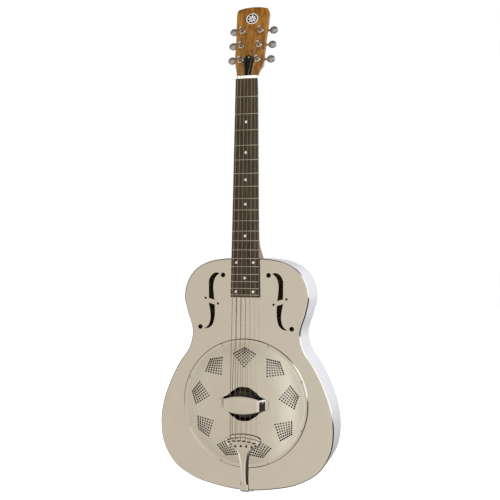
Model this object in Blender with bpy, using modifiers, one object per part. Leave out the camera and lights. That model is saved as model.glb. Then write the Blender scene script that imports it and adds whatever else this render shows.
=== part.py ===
"""A resonator guitar with a metal body and a single spun cone, as separate working pieces.

Row frame: the guitar stands upright, +Z runs up the neck, the face looks along -Y and +X is the
treble side. The origin is on the flat back, level with the saddle. Pieces are drawn in three
working frames, each with X across, Y along the strings and Z out of the front: the face frame at
the saddle, the neck frame at the body joint and the head frame at the nut. Metres throughout.
"""

from math import asin, cos, pi, radians, sin

import bmesh
import bpy
from mathutils import Matrix, Vector

MM = 0.001
GAP = 0.3 * MM

# Driving dimensions
SCALE_LENGTH = 647.7 * MM
FRET_COUNT = 19
BODY_FRET = 14
BODY_JOINT = SCALE_LENGTH * 2 ** (-BODY_FRET / 12)
BODY_DEPTH = 88 * MM
SHEET = 1.0 * MM
CONE_RADIUS = 120.65 * MM
NECK_ANGLE = radians(0.8)
HEAD_TILT = radians(15)

# Body outline, from the neck joint round to the tail: (half-width, distance above the saddle)
BODY_OUTLINE_MM = (
    (0, 288.5), (44, 288.2), (84, 279.5), (108, 264), (123, 241), (129, 213), (123.6, 182),
    (111.9, 138), (118.5, 109), (140.6, 75), (161, 34), (174.8, -8), (179.3, -46), (174, -88),
    (150, -129), (110, -154.5), (55, -169), (0, -174.1),
)
TAIL_Z = BODY_OUTLINE_MM[-1][1] * MM

# Sound holes in the face: each f-hole is an upper and a lower slot, two circles and two dots
UPPER_SLOT_MM = (
    ((65, 204.8), (67.2, 222), (67.2, 238), (62.5, 251.5), (54.5, 259)),
    ((54.5, 259), (62.5, 260.2), (70.5, 255.8), (76, 247), (77, 230), (76.8, 208.2)),
)
LOWER_SLOT_MM = (
    ((77.2, 199.4), (73.8, 182), (73.6, 165), (77.5, 154), (86, 146.8)),
    ((86, 146.8), (77.5, 148.2), (69.5, 154.5), (65, 168), (63.9, 184), (64.4, 195.4)),
)
F_CIRCLES_MM = ((47.2, 255.3, 4.2), (94.6, 150.3, 4.2), (83.7, 208.6, 2.2), (57.7, 197.6, 2.2))

# Resonator
WELL_RADIUS = 121.5 * MM
WELL_LEDGE_RADIUS = 113.5 * MM
WELL_DEPTH = 22.3 * MM
CONE_PEAK = 2.5 * MM
CONE_SHEET = 0.6 * MM
BISCUIT_RADIUS = 25.4 * MM
BISCUIT_THICKNESS = 7 * MM
SADDLE_TOP = 17.9 * MM
SADDLE_HALF_LENGTH = 29 * MM
SADDLE_THICKNESS = 3.2 * MM
COVER_SCREW_COUNT = 8
COVER_SCREW_CIRCLE = 125 * MM
WINDOW_MM = (
    (0, 33.9), (11.3, 32.6), (19, 27.8), (26.8, 22.7), (33, 16.6), (42.2, 12.4), (43.3, 12.4),
)

# Neck and fretboard, in the neck frame
BOARD_TOP = 7.05 * MM
BOARD_THICKNESS = 6.2 * MM
BOARD_END = -77.3 * MM
NUT_HALF_WIDTH = 22.3 * MM
JOINT_HALF_WIDTH = 27.8 * MM
FRET_CROWN = 1.1 * MM
NUT_Y = SCALE_LENGTH - BODY_JOINT
NUT_DEPTH = 5.4 * MM
NUT_SLOT_FLOOR = 1.3 * MM
NUT_CROWN = 2.6 * MM
STICK_WIDTH = 24 * MM
STICK_FRONT = -40 * MM
STICK_BACK = -62 * MM
PIN_LEVEL = (STICK_FRONT + STICK_BACK) / 2
TRUSS_DEPTH = 9.5 * MM

# Headstock and tuners, in the head frame
HEAD_Y = NUT_Y + NUT_DEPTH + GAP
HEAD_Z = -0.55 * MM
HEAD_THICKNESS = 14 * MM
HEAD_OUTLINE_MM = (
    (22.2, 0), (23.8, 12), (27, 24), (29.2, 38), (30.2, 62), (30.9, 86), (32.2, 110), (33.4, 136),
    (33.6, 146), (31.2, 152), (25, 154.6), (12, 157), (0, 157.6),
)
TRUSS_SCREW_PLACE = (0, 41.5 * MM)
POST_FIRST = 36.9 * MM
POST_STEP = 32.8 * MM
POST_HALF_SPACING = (18.0 * MM, 18.7 * MM, 19.4 * MM)
GEAR_TEETH = 14
WORM_PITCH = 3.1 * MM
WORM_RADIUS = 2.55 * MM
TOOTH_HEIGHT = 0.55 * MM
GEAR_RADIUS = GEAR_TEETH * WORM_PITCH / (2 * pi)
WORM_OFFSET = WORM_RADIUS + GEAR_RADIUS + 0.55 * MM
KEY_LEVEL = -19 * MM
WINDING_RADIUS = 3.9 * MM
WINDING_LEVEL = 5.5 * MM

# Strings, bass to treble: radius of each
STRING_RADII = (0.66 * MM, 0.53 * MM, 0.41 * MM, 0.32 * MM, 0.22 * MM, 0.17 * MM)
STRING_SPACING_TAIL = 10.3 * MM
STRING_SPACING_NUT = 7.2 * MM
TAIL_STRING_HEIGHT = 14.9 * MM

FLAT = Matrix.Rotation(radians(90), 4, "X")

MATERIALS = {
    "plated_steel": ((0.76, 0.74, 0.68), 1.0, 0.18),
    "aluminium": ((0.80, 0.80, 0.80), 1.0, 0.35),
    "mahogany": ((0.30, 0.14, 0.05), 0.0, 0.35),
    "rosewood": ((0.08, 0.05, 0.04), 0.0, 0.50),
    "maple": ((0.72, 0.55, 0.34), 0.0, 0.50),
    "bone": ((0.90, 0.88, 0.80), 0.0, 0.40),
    "black_plastic": ((0.01, 0.01, 0.01), 0.0, 0.20),
    "pearl": ((0.80, 0.80, 0.78), 0.0, 0.25),
    "steel": ((0.60, 0.60, 0.60), 1.0, 0.30),
    "chrome": ((0.70, 0.71, 0.73), 1.0, 0.15),
    "string_steel": ((0.62, 0.60, 0.55), 1.0, 0.30),
    "string_bronze": ((0.60, 0.45, 0.25), 1.0, 0.35),
}


# ---------------------------------------------------------------- scene and materials

def clear_scene():
    for item in list(bpy.data.objects):
        bpy.data.objects.remove(item, do_unlink=True)


def make_collection(name):
    collection = bpy.data.collections.new(name)
    bpy.context.scene.collection.children.link(collection)
    return collection


def make_material(name):
    colour, metallic, roughness = MATERIALS[name]
    material = bpy.data.materials.new(name)
    material.use_nodes = True
    shader = material.node_tree.nodes["Principled BSDF"]
    shader.inputs["Base Color"].default_value = (*colour, 1.0)
    shader.inputs["Metallic"].default_value = metallic
    shader.inputs["Roughness"].default_value = roughness
    material.diffuse_color = (*colour, 1.0)
    return material


def material_for(name):
    return bpy.data.materials.get(name) or make_material(name)


def make_frame(name, parent, location, tilt):
    frame = bpy.data.objects.new(name, None)
    PARTS.objects.link(frame)
    frame.empty_display_size = 0.02
    frame.parent = parent
    frame.location = location
    frame.rotation_euler = (tilt, 0, 0)
    return frame


# ---------------------------------------------------------------- outlines

def curve_point(before, start, end, after, fraction):
    """Point on the cubic from start to end whose end slopes are parabolas through the neighbours."""
    step = (end - start).length
    step_before = (start - before).length or step
    step_after = (after - end).length or step
    slope = (end - start) / step
    slope_before = (start - before) / step_before
    slope_after = (after - end) / step_after
    leaving = (slope * step_before + slope_before * step) / (step + step_before) * step
    arriving = (slope * step_after + slope_after * step) / (step + step_after) * step
    t = fraction
    return (
        start * (2 * t**3 - 3 * t**2 + 1)
        + leaving * (t**3 - 2 * t**2 + t)
        + end * (3 * t**2 - 2 * t**3)
        + arriving * (t**3 - t**2)
    )


def smooth_open(points_mm, steps):
    """Smooth curve through the points, in metres, without its last point."""
    points = [Vector(point) * MM for point in points_mm]
    points = [2 * points[0] - points[1]] + points + [2 * points[-1] - points[-2]]
    return [
        curve_point(*points[i : i + 4], step / steps)
        for i in range(len(points) - 3)
        for step in range(steps)
    ]


def smooth_closed(points_mm, steps):
    points = [Vector(point) * MM for point in points_mm]
    count = len(points)
    return [
        curve_point(*(points[(i + k) % count] for k in (-1, 0, 1, 2)), step / steps)
        for i in range(count)
        for step in range(steps)
    ]


def mirrored(half_mm):
    """Closed outline from the half that runs from the top of the centre line to its bottom."""
    return list(half_mm) + [(-x, y) for x, y in reversed(half_mm[1:-1])]


def body_outline(inset=0.0):
    outline = smooth_closed(mirrored(BODY_OUTLINE_MM), 3)
    count = len(outline)
    inner = []
    for i, point in enumerate(outline):
        along = (outline[(i + 1) % count] - outline[i - 1]).normalized()
        inner.append(point + Vector((along.y, -along.x)) * inset)
    return inner


def circle(x, y, radius, count):
    return [
        Vector((x + radius * cos(2 * pi * i / count), y + radius * sin(2 * pi * i / count)))
        for i in range(count)
    ]


def f_hole_loops(side):
    loops = [smooth_open(first, 2) + smooth_open(second, 2) + [Vector(second[-1]) * MM]
             for first, second in (UPPER_SLOT_MM, LOWER_SLOT_MM)]
    loops += [circle(x * MM, y * MM, radius * MM, 12) for x, y, radius in F_CIRCLES_MM]
    return [[Vector((side * point.x, point.y)) for point in loop] for loop in loops]


def cover_screw_places():
    angles = [(i + 0.5) * 2 * pi / COVER_SCREW_COUNT for i in range(COVER_SCREW_COUNT)]
    return [(COVER_SCREW_CIRCLE * sin(a), COVER_SCREW_CIRCLE * cos(a)) for a in angles]


# ---------------------------------------------------------------- meshes

def finish_mesh(mesh):
    shaped = bmesh.new()
    shaped.from_mesh(mesh)
    bmesh.ops.remove_doubles(shaped, verts=shaped.verts, dist=1e-6)
    bmesh.ops.recalc_face_normals(shaped, faces=shaped.faces)
    shaped.to_mesh(mesh)
    shaped.free()
    mesh.shade_smooth()
    mesh.set_sharp_from_angle(angle=radians(35))
    return mesh


def evaluated_mesh(item):
    """The mesh that the object evaluates to; the object itself is removed."""
    graph = bpy.context.evaluated_depsgraph_get()
    mesh = bpy.data.meshes.new_from_object(item.evaluated_get(graph))
    mesh.name = item.name
    bpy.data.objects.remove(item, do_unlink=True)
    return mesh


def plate_mesh(name, loops, back, front):
    """Flat sheet between two heights: the first loop is its outline, the others are holes."""
    outline = bpy.data.curves.new(name, "CURVE")
    outline.dimensions = "2D"
    outline.fill_mode = "BOTH"
    outline.extrude = (front - back) / 2
    for loop in loops:
        spline = outline.splines.new("POLY")
        spline.points.add(len(loop) - 1)
        spline.use_cyclic_u = True
        for point, place in zip(spline.points, loop):
            point.co = (place[0], place[1], 0, 1)
    guide = bpy.data.objects.new(name, outline)
    PARTS.objects.link(guide)
    mesh = evaluated_mesh(guide)
    mesh.transform(Matrix.Translation((0, 0, (front + back) / 2)))
    return finish_mesh(mesh)


def box_mesh(name, low, high):
    low, high = Vector(low), Vector(high)
    mesh = bpy.data.meshes.new(name)
    shaped = bmesh.new()
    placed = Matrix.Translation((low + high) / 2) @ Matrix.Diagonal((*(high - low), 1))
    bmesh.ops.create_cube(shaped, size=1, matrix=placed)
    shaped.to_mesh(mesh)
    shaped.free()
    return mesh


def cylinders_mesh(name, centres, radius, low, high, count=12, turn=Matrix()):
    """Upright cylinders between two heights, all turned together by a matrix."""
    mesh = bpy.data.meshes.new(name)
    shaped = bmesh.new()
    for x, y in centres:
        placed = turn @ Matrix.Translation((x, y, (low + high) / 2))
        bmesh.ops.create_cone(
            shaped, cap_ends=True, segments=count, radius1=radius, radius2=radius,
            depth=high - low, matrix=placed,
        )
    shaped.to_mesh(mesh)
    shaped.free()
    return finish_mesh(mesh)


def loft_mesh(name, rings):
    """Closed skin over rings of equal count, capped at both ends."""
    mesh = bpy.data.meshes.new(name)
    shaped = bmesh.new()
    rows = [[shaped.verts.new(point) for point in ring] for ring in rings]
    count = len(rings[0])
    for row, following in zip(rows, rows[1:]):
        for i in range(count):
            j = (i + 1) % count
            shaped.faces.new((row[i], row[j], following[j], following[i]))
    shaped.faces.new(rows[0])
    shaped.faces.new(rows[-1])
    shaped.to_mesh(mesh)
    shaped.free()
    return finish_mesh(mesh)


def strip_mesh(name, stations, thickness, crown=0.0, across=1):
    """Bent sheet along (distance, height, half-width) stations; distance runs along local Y.

    A crown lifts the middle of the sheet's width above its edges.
    """
    places = [Vector((0, along, height)) for along, height, _ in stations]
    rings = []
    for i, (place, station) in enumerate(zip(places, stations)):
        before, after = places[max(i - 1, 0)], places[min(i + 1, len(places) - 1)]
        along = (after - before).normalized()
        out = Vector((0, -along.z, along.y))
        fractions = [2 * k / across - 1 for k in range(across + 1)]
        front = [
            place + Vector((f * station[2], 0, 0)) + out * crown * (1 - f * f) for f in fractions
        ]
        rings.append(front + [point - out * thickness for point in reversed(front)])
    return loft_mesh(name, rings)


# ---------------------------------------------------------------- objects

def add_part(name, mesh, material, frame, location=(0, 0, 0), rotation=(0, 0, 0)):
    part = bpy.data.objects.new(name, mesh)
    PARTS.objects.link(part)
    if not mesh.materials:
        mesh.materials.append(material_for(material))
    part.parent = frame
    part.location = location
    part.rotation_euler = rotation
    return part


def add_cutter(name, mesh, frame, location=(0, 0, 0), rotation=(0, 0, 0)):
    cutter = bpy.data.objects.new(name, mesh)
    CUTTERS.objects.link(cutter)
    cutter.parent = frame
    cutter.location = location
    cutter.rotation_euler = rotation
    cutter.hide_render = True
    cutter.display_type = "WIRE"
    return cutter


def combine(part, other, operation="DIFFERENCE"):
    boolean = part.modifiers.new(other.name, "BOOLEAN")
    boolean.operation = operation
    boolean.object = other


def turned(name, profile, material, frame, steps, ring=False, location=(0, 0, 0)):
    """Profile of (radius, height) turned about local Z; it runs down its outer side."""
    mesh = bpy.data.meshes.new(name)
    edges = [(i, i + 1) for i in range(len(profile) - 1)]
    if ring:
        edges.append((len(profile) - 1, 0))
    mesh.from_pydata([(radius, 0, height) for radius, height in profile], edges, [])
    part = add_part(name, mesh, material, frame, location)
    turn = part.modifiers.new("Turn", "SCREW")
    turn.steps = steps
    turn.render_steps = steps
    turn.use_merge_vertices = True
    turn.merge_threshold = 1e-5
    return part


def bevelled(part, width):
    edge = part.modifiers.new("Edge", "BEVEL")
    edge.width = width
    edge.segments = 1
    edge.limit_method = "ANGLE"
    return part


# ---------------------------------------------------------------- body

def build_body(face):
    well_hole = circle(0, 0, WELL_RADIUS, 64)
    screw_holes = [circle(x, y, 1.6 * MM, 8) for x, y in cover_screw_places()]
    loops = [body_outline(), well_hole, *f_hole_loops(1), *f_hole_loops(-1), *screw_holes]
    add_part("body_top", plate_mesh("body_top", loops, -SHEET, 0), "plated_steel", face)

    back = plate_mesh("body_back", [body_outline()], -BODY_DEPTH, SHEET - BODY_DEPTH)
    add_part("body_back", back, "plated_steel", face)

    loops = [body_outline(), body_outline(inset=SHEET)]
    rim_mesh = plate_mesh("body_rim", loops, SHEET + GAP - BODY_DEPTH, -SHEET - GAP)
    rim = add_part("body_rim", rim_mesh, "plated_steel", face)
    clearance = 0.6 * MM
    stick_hole = box_mesh(
        "stick_hole",
        (-STICK_WIDTH / 2 - clearance, BODY_JOINT - 6 * MM, STICK_BACK - clearance),
        (STICK_WIDTH / 2 + clearance, BODY_JOINT + 6 * MM, STICK_FRONT + clearance),
    )
    combine(rim, add_cutter("cutter_stick_hole", stick_hole, face))
    pin_hole = cylinders_mesh("pin_hole", [(0, 0)], 2.8 * MM, -4 * MM, 4 * MM)
    place = (0, TAIL_Z, PIN_LEVEL)
    combine(rim, add_cutter("cutter_pin_hole", pin_hole, face, place, (radians(90), 0, 0)))


def build_resonator(face):
    floor = -SHEET - GAP
    well = [
        (WELL_RADIUS + SHEET, floor),
        (WELL_RADIUS + SHEET, -WELL_DEPTH - SHEET),
        (WELL_LEDGE_RADIUS, -WELL_DEPTH - SHEET),
        (WELL_LEDGE_RADIUS, -WELL_DEPTH),
        (WELL_RADIUS, -WELL_DEPTH),
        (WELL_RADIUS, floor),
    ]
    turned("sound_well", well, "plated_steel", face, 48, ring=True)

    rim_height = -WELL_DEPTH + GAP + CONE_SHEET
    outer = [
        (2.4 * MM, CONE_PEAK),
        (BISCUIT_RADIUS + 1 * MM, CONE_PEAK),
        (58 * MM, -4.6 * MM),
        (92 * MM, -13.6 * MM),
        (111 * MM, rim_height - 0.6 * MM),
        (114.5 * MM, rim_height),
        (CONE_RADIUS, rim_height),
    ]
    inner = [(radius, height - CONE_SHEET) for radius, height in reversed(outer)]
    turned("cone", outer + inner, "aluminium", face, 32, ring=True)

    build_bridge(face)
    build_cover(face)


def build_bridge(face):
    low = CONE_PEAK + GAP
    high = low + BISCUIT_THICKNESS
    slot_floor = high - 3.2 * MM
    biscuit = [(0, high), (BISCUIT_RADIUS, high), (BISCUIT_RADIUS, low), (0, low)]
    part = turned("biscuit", biscuit, "maple", face, 32)
    half_slot = SADDLE_THICKNESS / 2 + GAP
    slot = box_mesh(
        "saddle_slot",
        (-1.2 * BISCUIT_RADIUS, -half_slot, slot_floor),
        (1.2 * BISCUIT_RADIUS, half_slot, high + 2 * MM),
    )
    combine(part, add_cutter("cutter_saddle_slot", slot, face))
    bore = cylinders_mesh("screw_bore", [(0, 0)], 2.0 * MM, low - 2 * MM, low + 3 * MM)
    combine(part, add_cutter("cutter_screw_bore", bore, face))

    below = CONE_PEAK - CONE_SHEET - GAP
    screw = [
        (0, low + 2.7 * MM),
        (1.7 * MM, low + 2.7 * MM),
        (1.7 * MM, below),
        (4 * MM, below),
        (3.4 * MM, below - 1.6 * MM),
        (0, below - 2 * MM),
    ]
    turned("biscuit_screw", screw, "steel", face, 12)

    crown = smooth_open([(-29, 16.6), (-15, 17.6), (0, 17.9), (15, 17.6), (29, 16.6)], 2)
    crown.append(Vector((SADDLE_HALF_LENGTH, 16.6 * MM)))
    base = slot_floor + GAP
    outline = crown + [Vector((SADDLE_HALF_LENGTH, base)), Vector((-SADDLE_HALF_LENGTH, base))]
    mesh = plate_mesh("saddle", [outline], -SADDLE_THICKNESS / 2, SADDLE_THICKNESS / 2)
    add_part("saddle", mesh, "maple", face, rotation=(radians(90), 0, 0))


def build_cover(face):
    outer = [
        (0, 10.4), (52, 10.0), (84, 8.5), (106, 6.1), (116, 4.0), (121.1, 1.3), (128.8, 1.3),
    ]
    outer = [(radius * MM, height * MM) for radius, height in outer]
    inner = [(radius, height - SHEET) for radius, height in reversed(outer)]
    cover = turned("cover_plate", outer + inner, "plated_steel", face, 40)
    half = list(WINDOW_MM) + [(x, -y) for x, y in reversed(WINDOW_MM[1:])]
    outline = [Vector(point) * MM for point in mirrored(half + [(0, -WINDOW_MM[0][1])])]
    window = plate_mesh("window", [outline], 5 * MM, 15 * MM)
    combine(cover, add_cutter("cutter_window", window, face))
    holes = cylinders_mesh("cover_holes", cover_screw_places(), 1.6 * MM, -3 * MM, 6 * MM, 8)
    combine(cover, add_cutter("cutter_cover_holes", holes, face))

    seat = 1.3 * MM + GAP
    profile = [
        (0, seat + 1.7 * MM), (1.6 * MM, seat + 1.3 * MM), (2.7 * MM, seat),
        (1.2 * MM, seat), (1.2 * MM, -5 * MM), (0, -6 * MM),
    ]
    mesh = evaluated_mesh(turned("cover_screw", profile, "steel", None, 10))
    for number, (x, y) in enumerate(cover_screw_places(), 1):
        add_part(f"cover_screw_{number}", finish_mesh(mesh), "steel", face, (x, y, 0))

    rest = [
        (-51.5, 11.8, 9), (-44.8, 11.8, 11), (-43.4, 12.8, 11.3), (-38, 25.2, 11.4),
        (-36.4, 26.8, 11.6), (-24, 27.3, 14.8), (-12, 27.6, 17), (0, 27.7, 17.7),
    ]
    rest += [(-distance, height, half_width) for distance, height, half_width in reversed(rest[:-1])]
    stations = [tuple(value * MM for value in station) for station in rest]
    mesh = strip_mesh("hand_rest", stations, 1.1 * MM)
    add_part("hand_rest", mesh, "plated_steel", face, rotation=(0, 0, radians(-90)))


# ---------------------------------------------------------------- neck

def board_half_width(along):
    return JOINT_HALF_WIDTH + (NUT_HALF_WIDTH - JOINT_HALF_WIDTH) * along / NUT_Y


def neck_section(along, half_width, depth, cap, top=-0.55 * MM):
    """D-shaped ring at a distance along the neck, flat on top and cut off at the cap's depth."""
    last = asin(min(cap / depth, 0.985))
    arc = [last * k / 7 for k in range(8)]
    right = [(half_width * cos(t) ** 0.9, along, top - depth * sin(t)) for t in arc]
    return right + [(-x, y, z) for x, y, z in reversed(right)]


def build_neck(neck, head):
    heel = [
        (0.5, 82 / 0.9, 82), (6, 84, 78), (14, 68, 65), (22, 50, 50), (30, 36, 36), (40, 26.5, 27),
        (55, 21, 22), (85, 19, 20), (200, 17.2, 18), (340, 15.6, 16), (364.8, 15.4, 16),
    ]
    rings = [
        neck_section(y * MM, board_half_width(y * MM) - 0.2 * MM, depth * MM, cap * MM)
        for y, depth, cap in heel
    ]
    # The heel's end is square to the body, which the neck meets at its small angle
    rings[0] = [(x, y - z * sin(NECK_ANGLE), z) for x, y, z in rings[0]]
    to_neck = Matrix.Translation((0, HEAD_Y, HEAD_Z)) @ Matrix.Rotation(-HEAD_TILT, 4, "X")
    volute = ((6, 21.5, 15.6, -0.5), (15, 20, 13.4, -0.6), (26, 17, 11.6, -1.2))
    for y, half_width, depth, top in volute:
        ring = neck_section(y * MM, half_width * MM, depth * MM, depth * MM, top * MM)
        rings.append([to_neck @ Vector(point) for point in ring])
    part = add_part("neck", loft_mesh("neck", rings), "mahogany", neck)

    half = list(reversed(HEAD_OUTLINE_MM))
    curve = smooth_open(half, 2) + [Vector(half[-1]) * MM]
    outline = curve + [Vector((-point.x, point.y)) for point in reversed(curve[1:])]
    slab = plate_mesh("head", [outline], -HEAD_THICKNESS, 0)
    combine(part, add_cutter("joined_head", slab, head), "UNION")

    channel = box_mesh(
        "channel", (-3.2 * MM, 8 * MM, -TRUSS_DEPTH - 3.4 * MM), (3.2 * MM, HEAD_Y + 6 * MM, 1 * MM)
    )
    combine(part, add_cutter("cutter_channel", channel, neck))
    pocket = box_mesh("pocket", (-5.6 * MM, 1.6 * MM, -12 * MM), (5.6 * MM, 33 * MM, 2 * MM))
    combine(part, add_cutter("cutter_pocket", pocket, head))
    places = [place for place, _ in post_places()]
    bores = cylinders_mesh("bores", places, 5.0 * MM, -20 * MM, 4 * MM)
    combine(part, add_cutter("cutter_bores", bores, head))
    screw_hole = cylinders_mesh("screw_hole", [TRUSS_SCREW_PLACE], 1.3 * MM, -9 * MM, 2 * MM, 8)
    combine(part, add_cutter("cutter_screw_hole", screw_hole, head))


def nut_mesh():
    """Nut with an open slot for each string, its outline in X and height, standing on its end."""
    crown, floor = BOARD_TOP + NUT_CROWN, BOARD_TOP + NUT_SLOT_FLOOR
    bottom = BOARD_TOP - BOARD_THICKNESS
    corner = 0.8 * MM
    outline = [
        Vector((-NUT_HALF_WIDTH, bottom)),
        Vector((-NUT_HALF_WIDTH, crown - corner)),
        Vector((-NUT_HALF_WIDTH + corner, crown)),
    ]
    for index, radius in enumerate(STRING_RADII):
        x = (index - 2.5) * STRING_SPACING_NUT
        half = radius + GAP
        slot = ((x - half, crown), (x - half, floor), (x + half, floor), (x + half, crown))
        outline += [Vector(point) for point in slot]
    outline += [
        Vector((NUT_HALF_WIDTH - corner, crown)),
        Vector((NUT_HALF_WIDTH, crown - corner)),
        Vector((NUT_HALF_WIDTH, bottom)),
    ]
    return plate_mesh("nut", [outline], -NUT_Y - NUT_DEPTH, -NUT_Y - GAP)


def build_fretboard(neck):
    outline = [Vector((BOARD_END, BOARD_TOP - BOARD_THICKNESS)), Vector((BOARD_END, BOARD_TOP))]
    crown = (
        (-1.2 * MM, 0), (-0.5 * MM, FRET_CROWN), (0.5 * MM, FRET_CROWN), (1.2 * MM, 0),
    )
    for number in range(FRET_COUNT, 0, -1):
        place = SCALE_LENGTH * 2 ** (-number / 12) - BODY_JOINT
        for offset, height in crown:
            outline.append(Vector((place + offset, BOARD_TOP + height)))
    outline.append(Vector((NUT_Y, BOARD_TOP)))
    outline.append(Vector((NUT_Y, BOARD_TOP - BOARD_THICKNESS)))
    mesh = plate_mesh("fretboard", [outline], -1, 1)
    # The outline lies in (along, height); its sheet is stood on edge and its sides tapered
    for corner in mesh.vertices:
        along, height, side = corner.co
        corner.co = (side * board_half_width(along), along, height)
    add_part("fretboard", finish_mesh(mesh), "rosewood", neck)

    add_part("nut", nut_mesh(), "bone", neck, rotation=(radians(90), 0, 0))


def build_stick(face):
    end = BODY_JOINT + 0.2 * MM
    start = TAIL_Z + SHEET + 0.6 * MM
    low = (-STICK_WIDTH / 2, start, STICK_BACK)
    high = (STICK_WIDTH / 2, end, STICK_FRONT)
    stick = add_part("neck_stick", box_mesh("neck_stick", low, high), "maple", face)
    bore = cylinders_mesh("stick_bore", [(0, 0)], 2.6 * MM, -20 * MM, 20 * MM)
    place = (0, start, PIN_LEVEL)
    combine(stick, add_cutter("cutter_stick_bore", bore, face, place, (radians(90), 0, 0)))
    radius = 9 * MM
    top, bottom = STICK_BACK - GAP, SHEET + GAP - BODY_DEPTH
    post = [(0, top), (radius, top), (radius, bottom), (0, bottom)]
    turned("stick_post", post, "maple", face, 20, location=(0, 40 * MM, 0))


def build_truss_rod(neck, head):
    start, end = 10 * MM, HEAD_Y + 4 * MM
    rod = cylinders_mesh("truss_rod", [(0, -TRUSS_DEPTH)], 2.6 * MM, -end, -start, 12, FLAT)
    add_part("truss_rod", rod, "steel", neck)
    hexagon = circle(0, 0, 4.0 * MM, 6)
    nut = plate_mesh("truss_rod_nut", [hexagon, circle(0, 0, 1.7 * MM, 6)], 0, 9 * MM)
    place = (0, end + GAP, -TRUSS_DEPTH)
    add_part("truss_rod_nut", nut, "steel", neck, place, (radians(-90), 0, 0))

    half = [(0, 46.4), (5, 45.2), (9.3, 40.5), (10.4, 34), (9.2, 22), (7.6, 10), (7, 2.6)]
    curve = smooth_open(half, 2) + [Vector(half[-1]) * MM]
    outline = curve + [Vector((-point.x, point.y)) for point in reversed(curve[1:])]
    hole = circle(*TRUSS_SCREW_PLACE, 1.5 * MM, 8)
    cover = plate_mesh("truss_rod_cover", [outline, hole], GAP, 2.1 * MM)
    add_part("truss_rod_cover", cover, "black_plastic", head)
    seat = 2.1 * MM + GAP
    screw = [
        (0, seat + 1.2 * MM), (1.4 * MM, seat + 0.9 * MM), (2.1 * MM, seat),
        (1 * MM, seat), (1 * MM, -7 * MM), (0, -8 * MM),
    ]
    turned("truss_cover_screw", screw, "chrome", head, 10, location=(*TRUSS_SCREW_PLACE, 0))
    disc = [(0, 1.4), (10.5, 1.4), (12.5, 0.9), (12.5, 0.3), (0, 0.3)]
    disc = [(radius * MM, height * MM) for radius, height in disc]
    turned("headstock_emblem", disc, "pearl", head, 24, location=(0, 130 * MM, 0))


# ---------------------------------------------------------------- tuners and strings

def post_places():
    """Places of the six posts with their side, low E first: up the bass side, down the treble."""
    bass = [(-half, POST_FIRST + row * POST_STEP) for row, half in enumerate(POST_HALF_SPACING)]
    treble = [(-x, y) for x, y in reversed(bass)]
    return [(place, -1) for place in bass] + [(place, 1) for place in treble]


def gear_outline():
    """Gear whose teeth are waves, with a gap facing the worm along +Y."""
    count = GEAR_TEETH * 4
    outline = []
    for i in range(count):
        angle = 2 * pi * i / count
        radius = GEAR_RADIUS - TOOTH_HEIGHT * cos(GEAR_TEETH * angle)
        outline.append(Vector((radius * sin(angle), radius * cos(angle))))
    return outline


def post_mesh():
    profile = [
        (0, 17), (2.2, 17), (3, 16), (2.6, 11), (3, 8.4), (3.9, 8), (3.9, 3.2), (3, 2.8),
        (3, -20.8), (0, -20.8),
    ]
    profile = [(radius * MM, height * MM) for radius, height in profile]
    shaft = turned("tuner_post", profile, "chrome", None, 10)
    level = KEY_LEVEL
    gear = plate_mesh("gear", [gear_outline()], level - 1.5 * MM, level + 1.5 * MM)
    combine(shaft, add_cutter("joined_gear", gear, None), "UNION")
    return finish_mesh(evaluated_mesh(shaft))


def worm_ring(x, count):
    """Ring of the worm at x: its thread is a wave, with a crest facing -Y at the middle."""
    ring = []
    for i in range(count):
        angle = 2 * pi * i / count
        radius = WORM_RADIUS + TOOTH_HEIGHT * cos(2 * pi * x / WORM_PITCH - angle)
        ring.append((x, -radius * cos(angle), -radius * sin(angle)))
    return ring


def key_mesh():
    """Worm, shaft and button in one skin along X; the button is wide along Y and thin in Z."""
    count = 8
    before = [(-9, 1.9, 1.9), (-5.5, 1.9, 1.9)]
    after = [
        (5.5, 1.9, 1.9), (10, 1.9, 1.9), (10, 3.4, 3.4), (11.4, 3.4, 3.4), (12, 2.2, 2.2),
        (14.6, 2.3, 2.3), (16.4, 6.6, 3.4), (21, 8.2, 4.2), (26, 8.1, 4.1), (31.4, 3.6, 2.2),
    ]

    def oval_ring(x, width, height):
        angles = [2 * pi * i / count for i in range(count)]
        return [(x * MM, -width * MM * cos(a), -height * MM * sin(a)) for a in angles]

    turns = 3
    per_turn = 4
    middle = [
        worm_ring((step / per_turn - turns / 2) * WORM_PITCH, count)
        for step in range(turns * per_turn + 1)
    ]
    rings = [oval_ring(*ring) for ring in before] + middle + [oval_ring(*ring) for ring in after]
    return loft_mesh("tuner_key", rings)


def housing_mesh():
    low, high = (-9.6, -9.2, -25), (9.6, 14.4, -14.3)
    shell = bpy.data.objects.new(
        "tuner_housing", box_mesh("tuner_housing", [v * MM for v in low], [v * MM for v in high])
    )
    PARTS.objects.link(shell)
    bevelled(shell, 1.2 * MM)
    hollow = box_mesh("hollow", (-8 * MM, -7.9 * MM, -23.4 * MM), (8 * MM, 13.2 * MM, -10 * MM))
    combine(shell, add_cutter("cutter_hollow", hollow, None))
    turn = Matrix.Rotation(radians(90), 4, "Y")
    centre = (-KEY_LEVEL, WORM_OFFSET)
    bore = cylinders_mesh("bore", [centre], 2.25 * MM, -12 * MM, 12 * MM, 12, turn)
    combine(shell, add_cutter("cutter_key_bore", bore, None))
    return finish_mesh(evaluated_mesh(shell))


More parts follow.
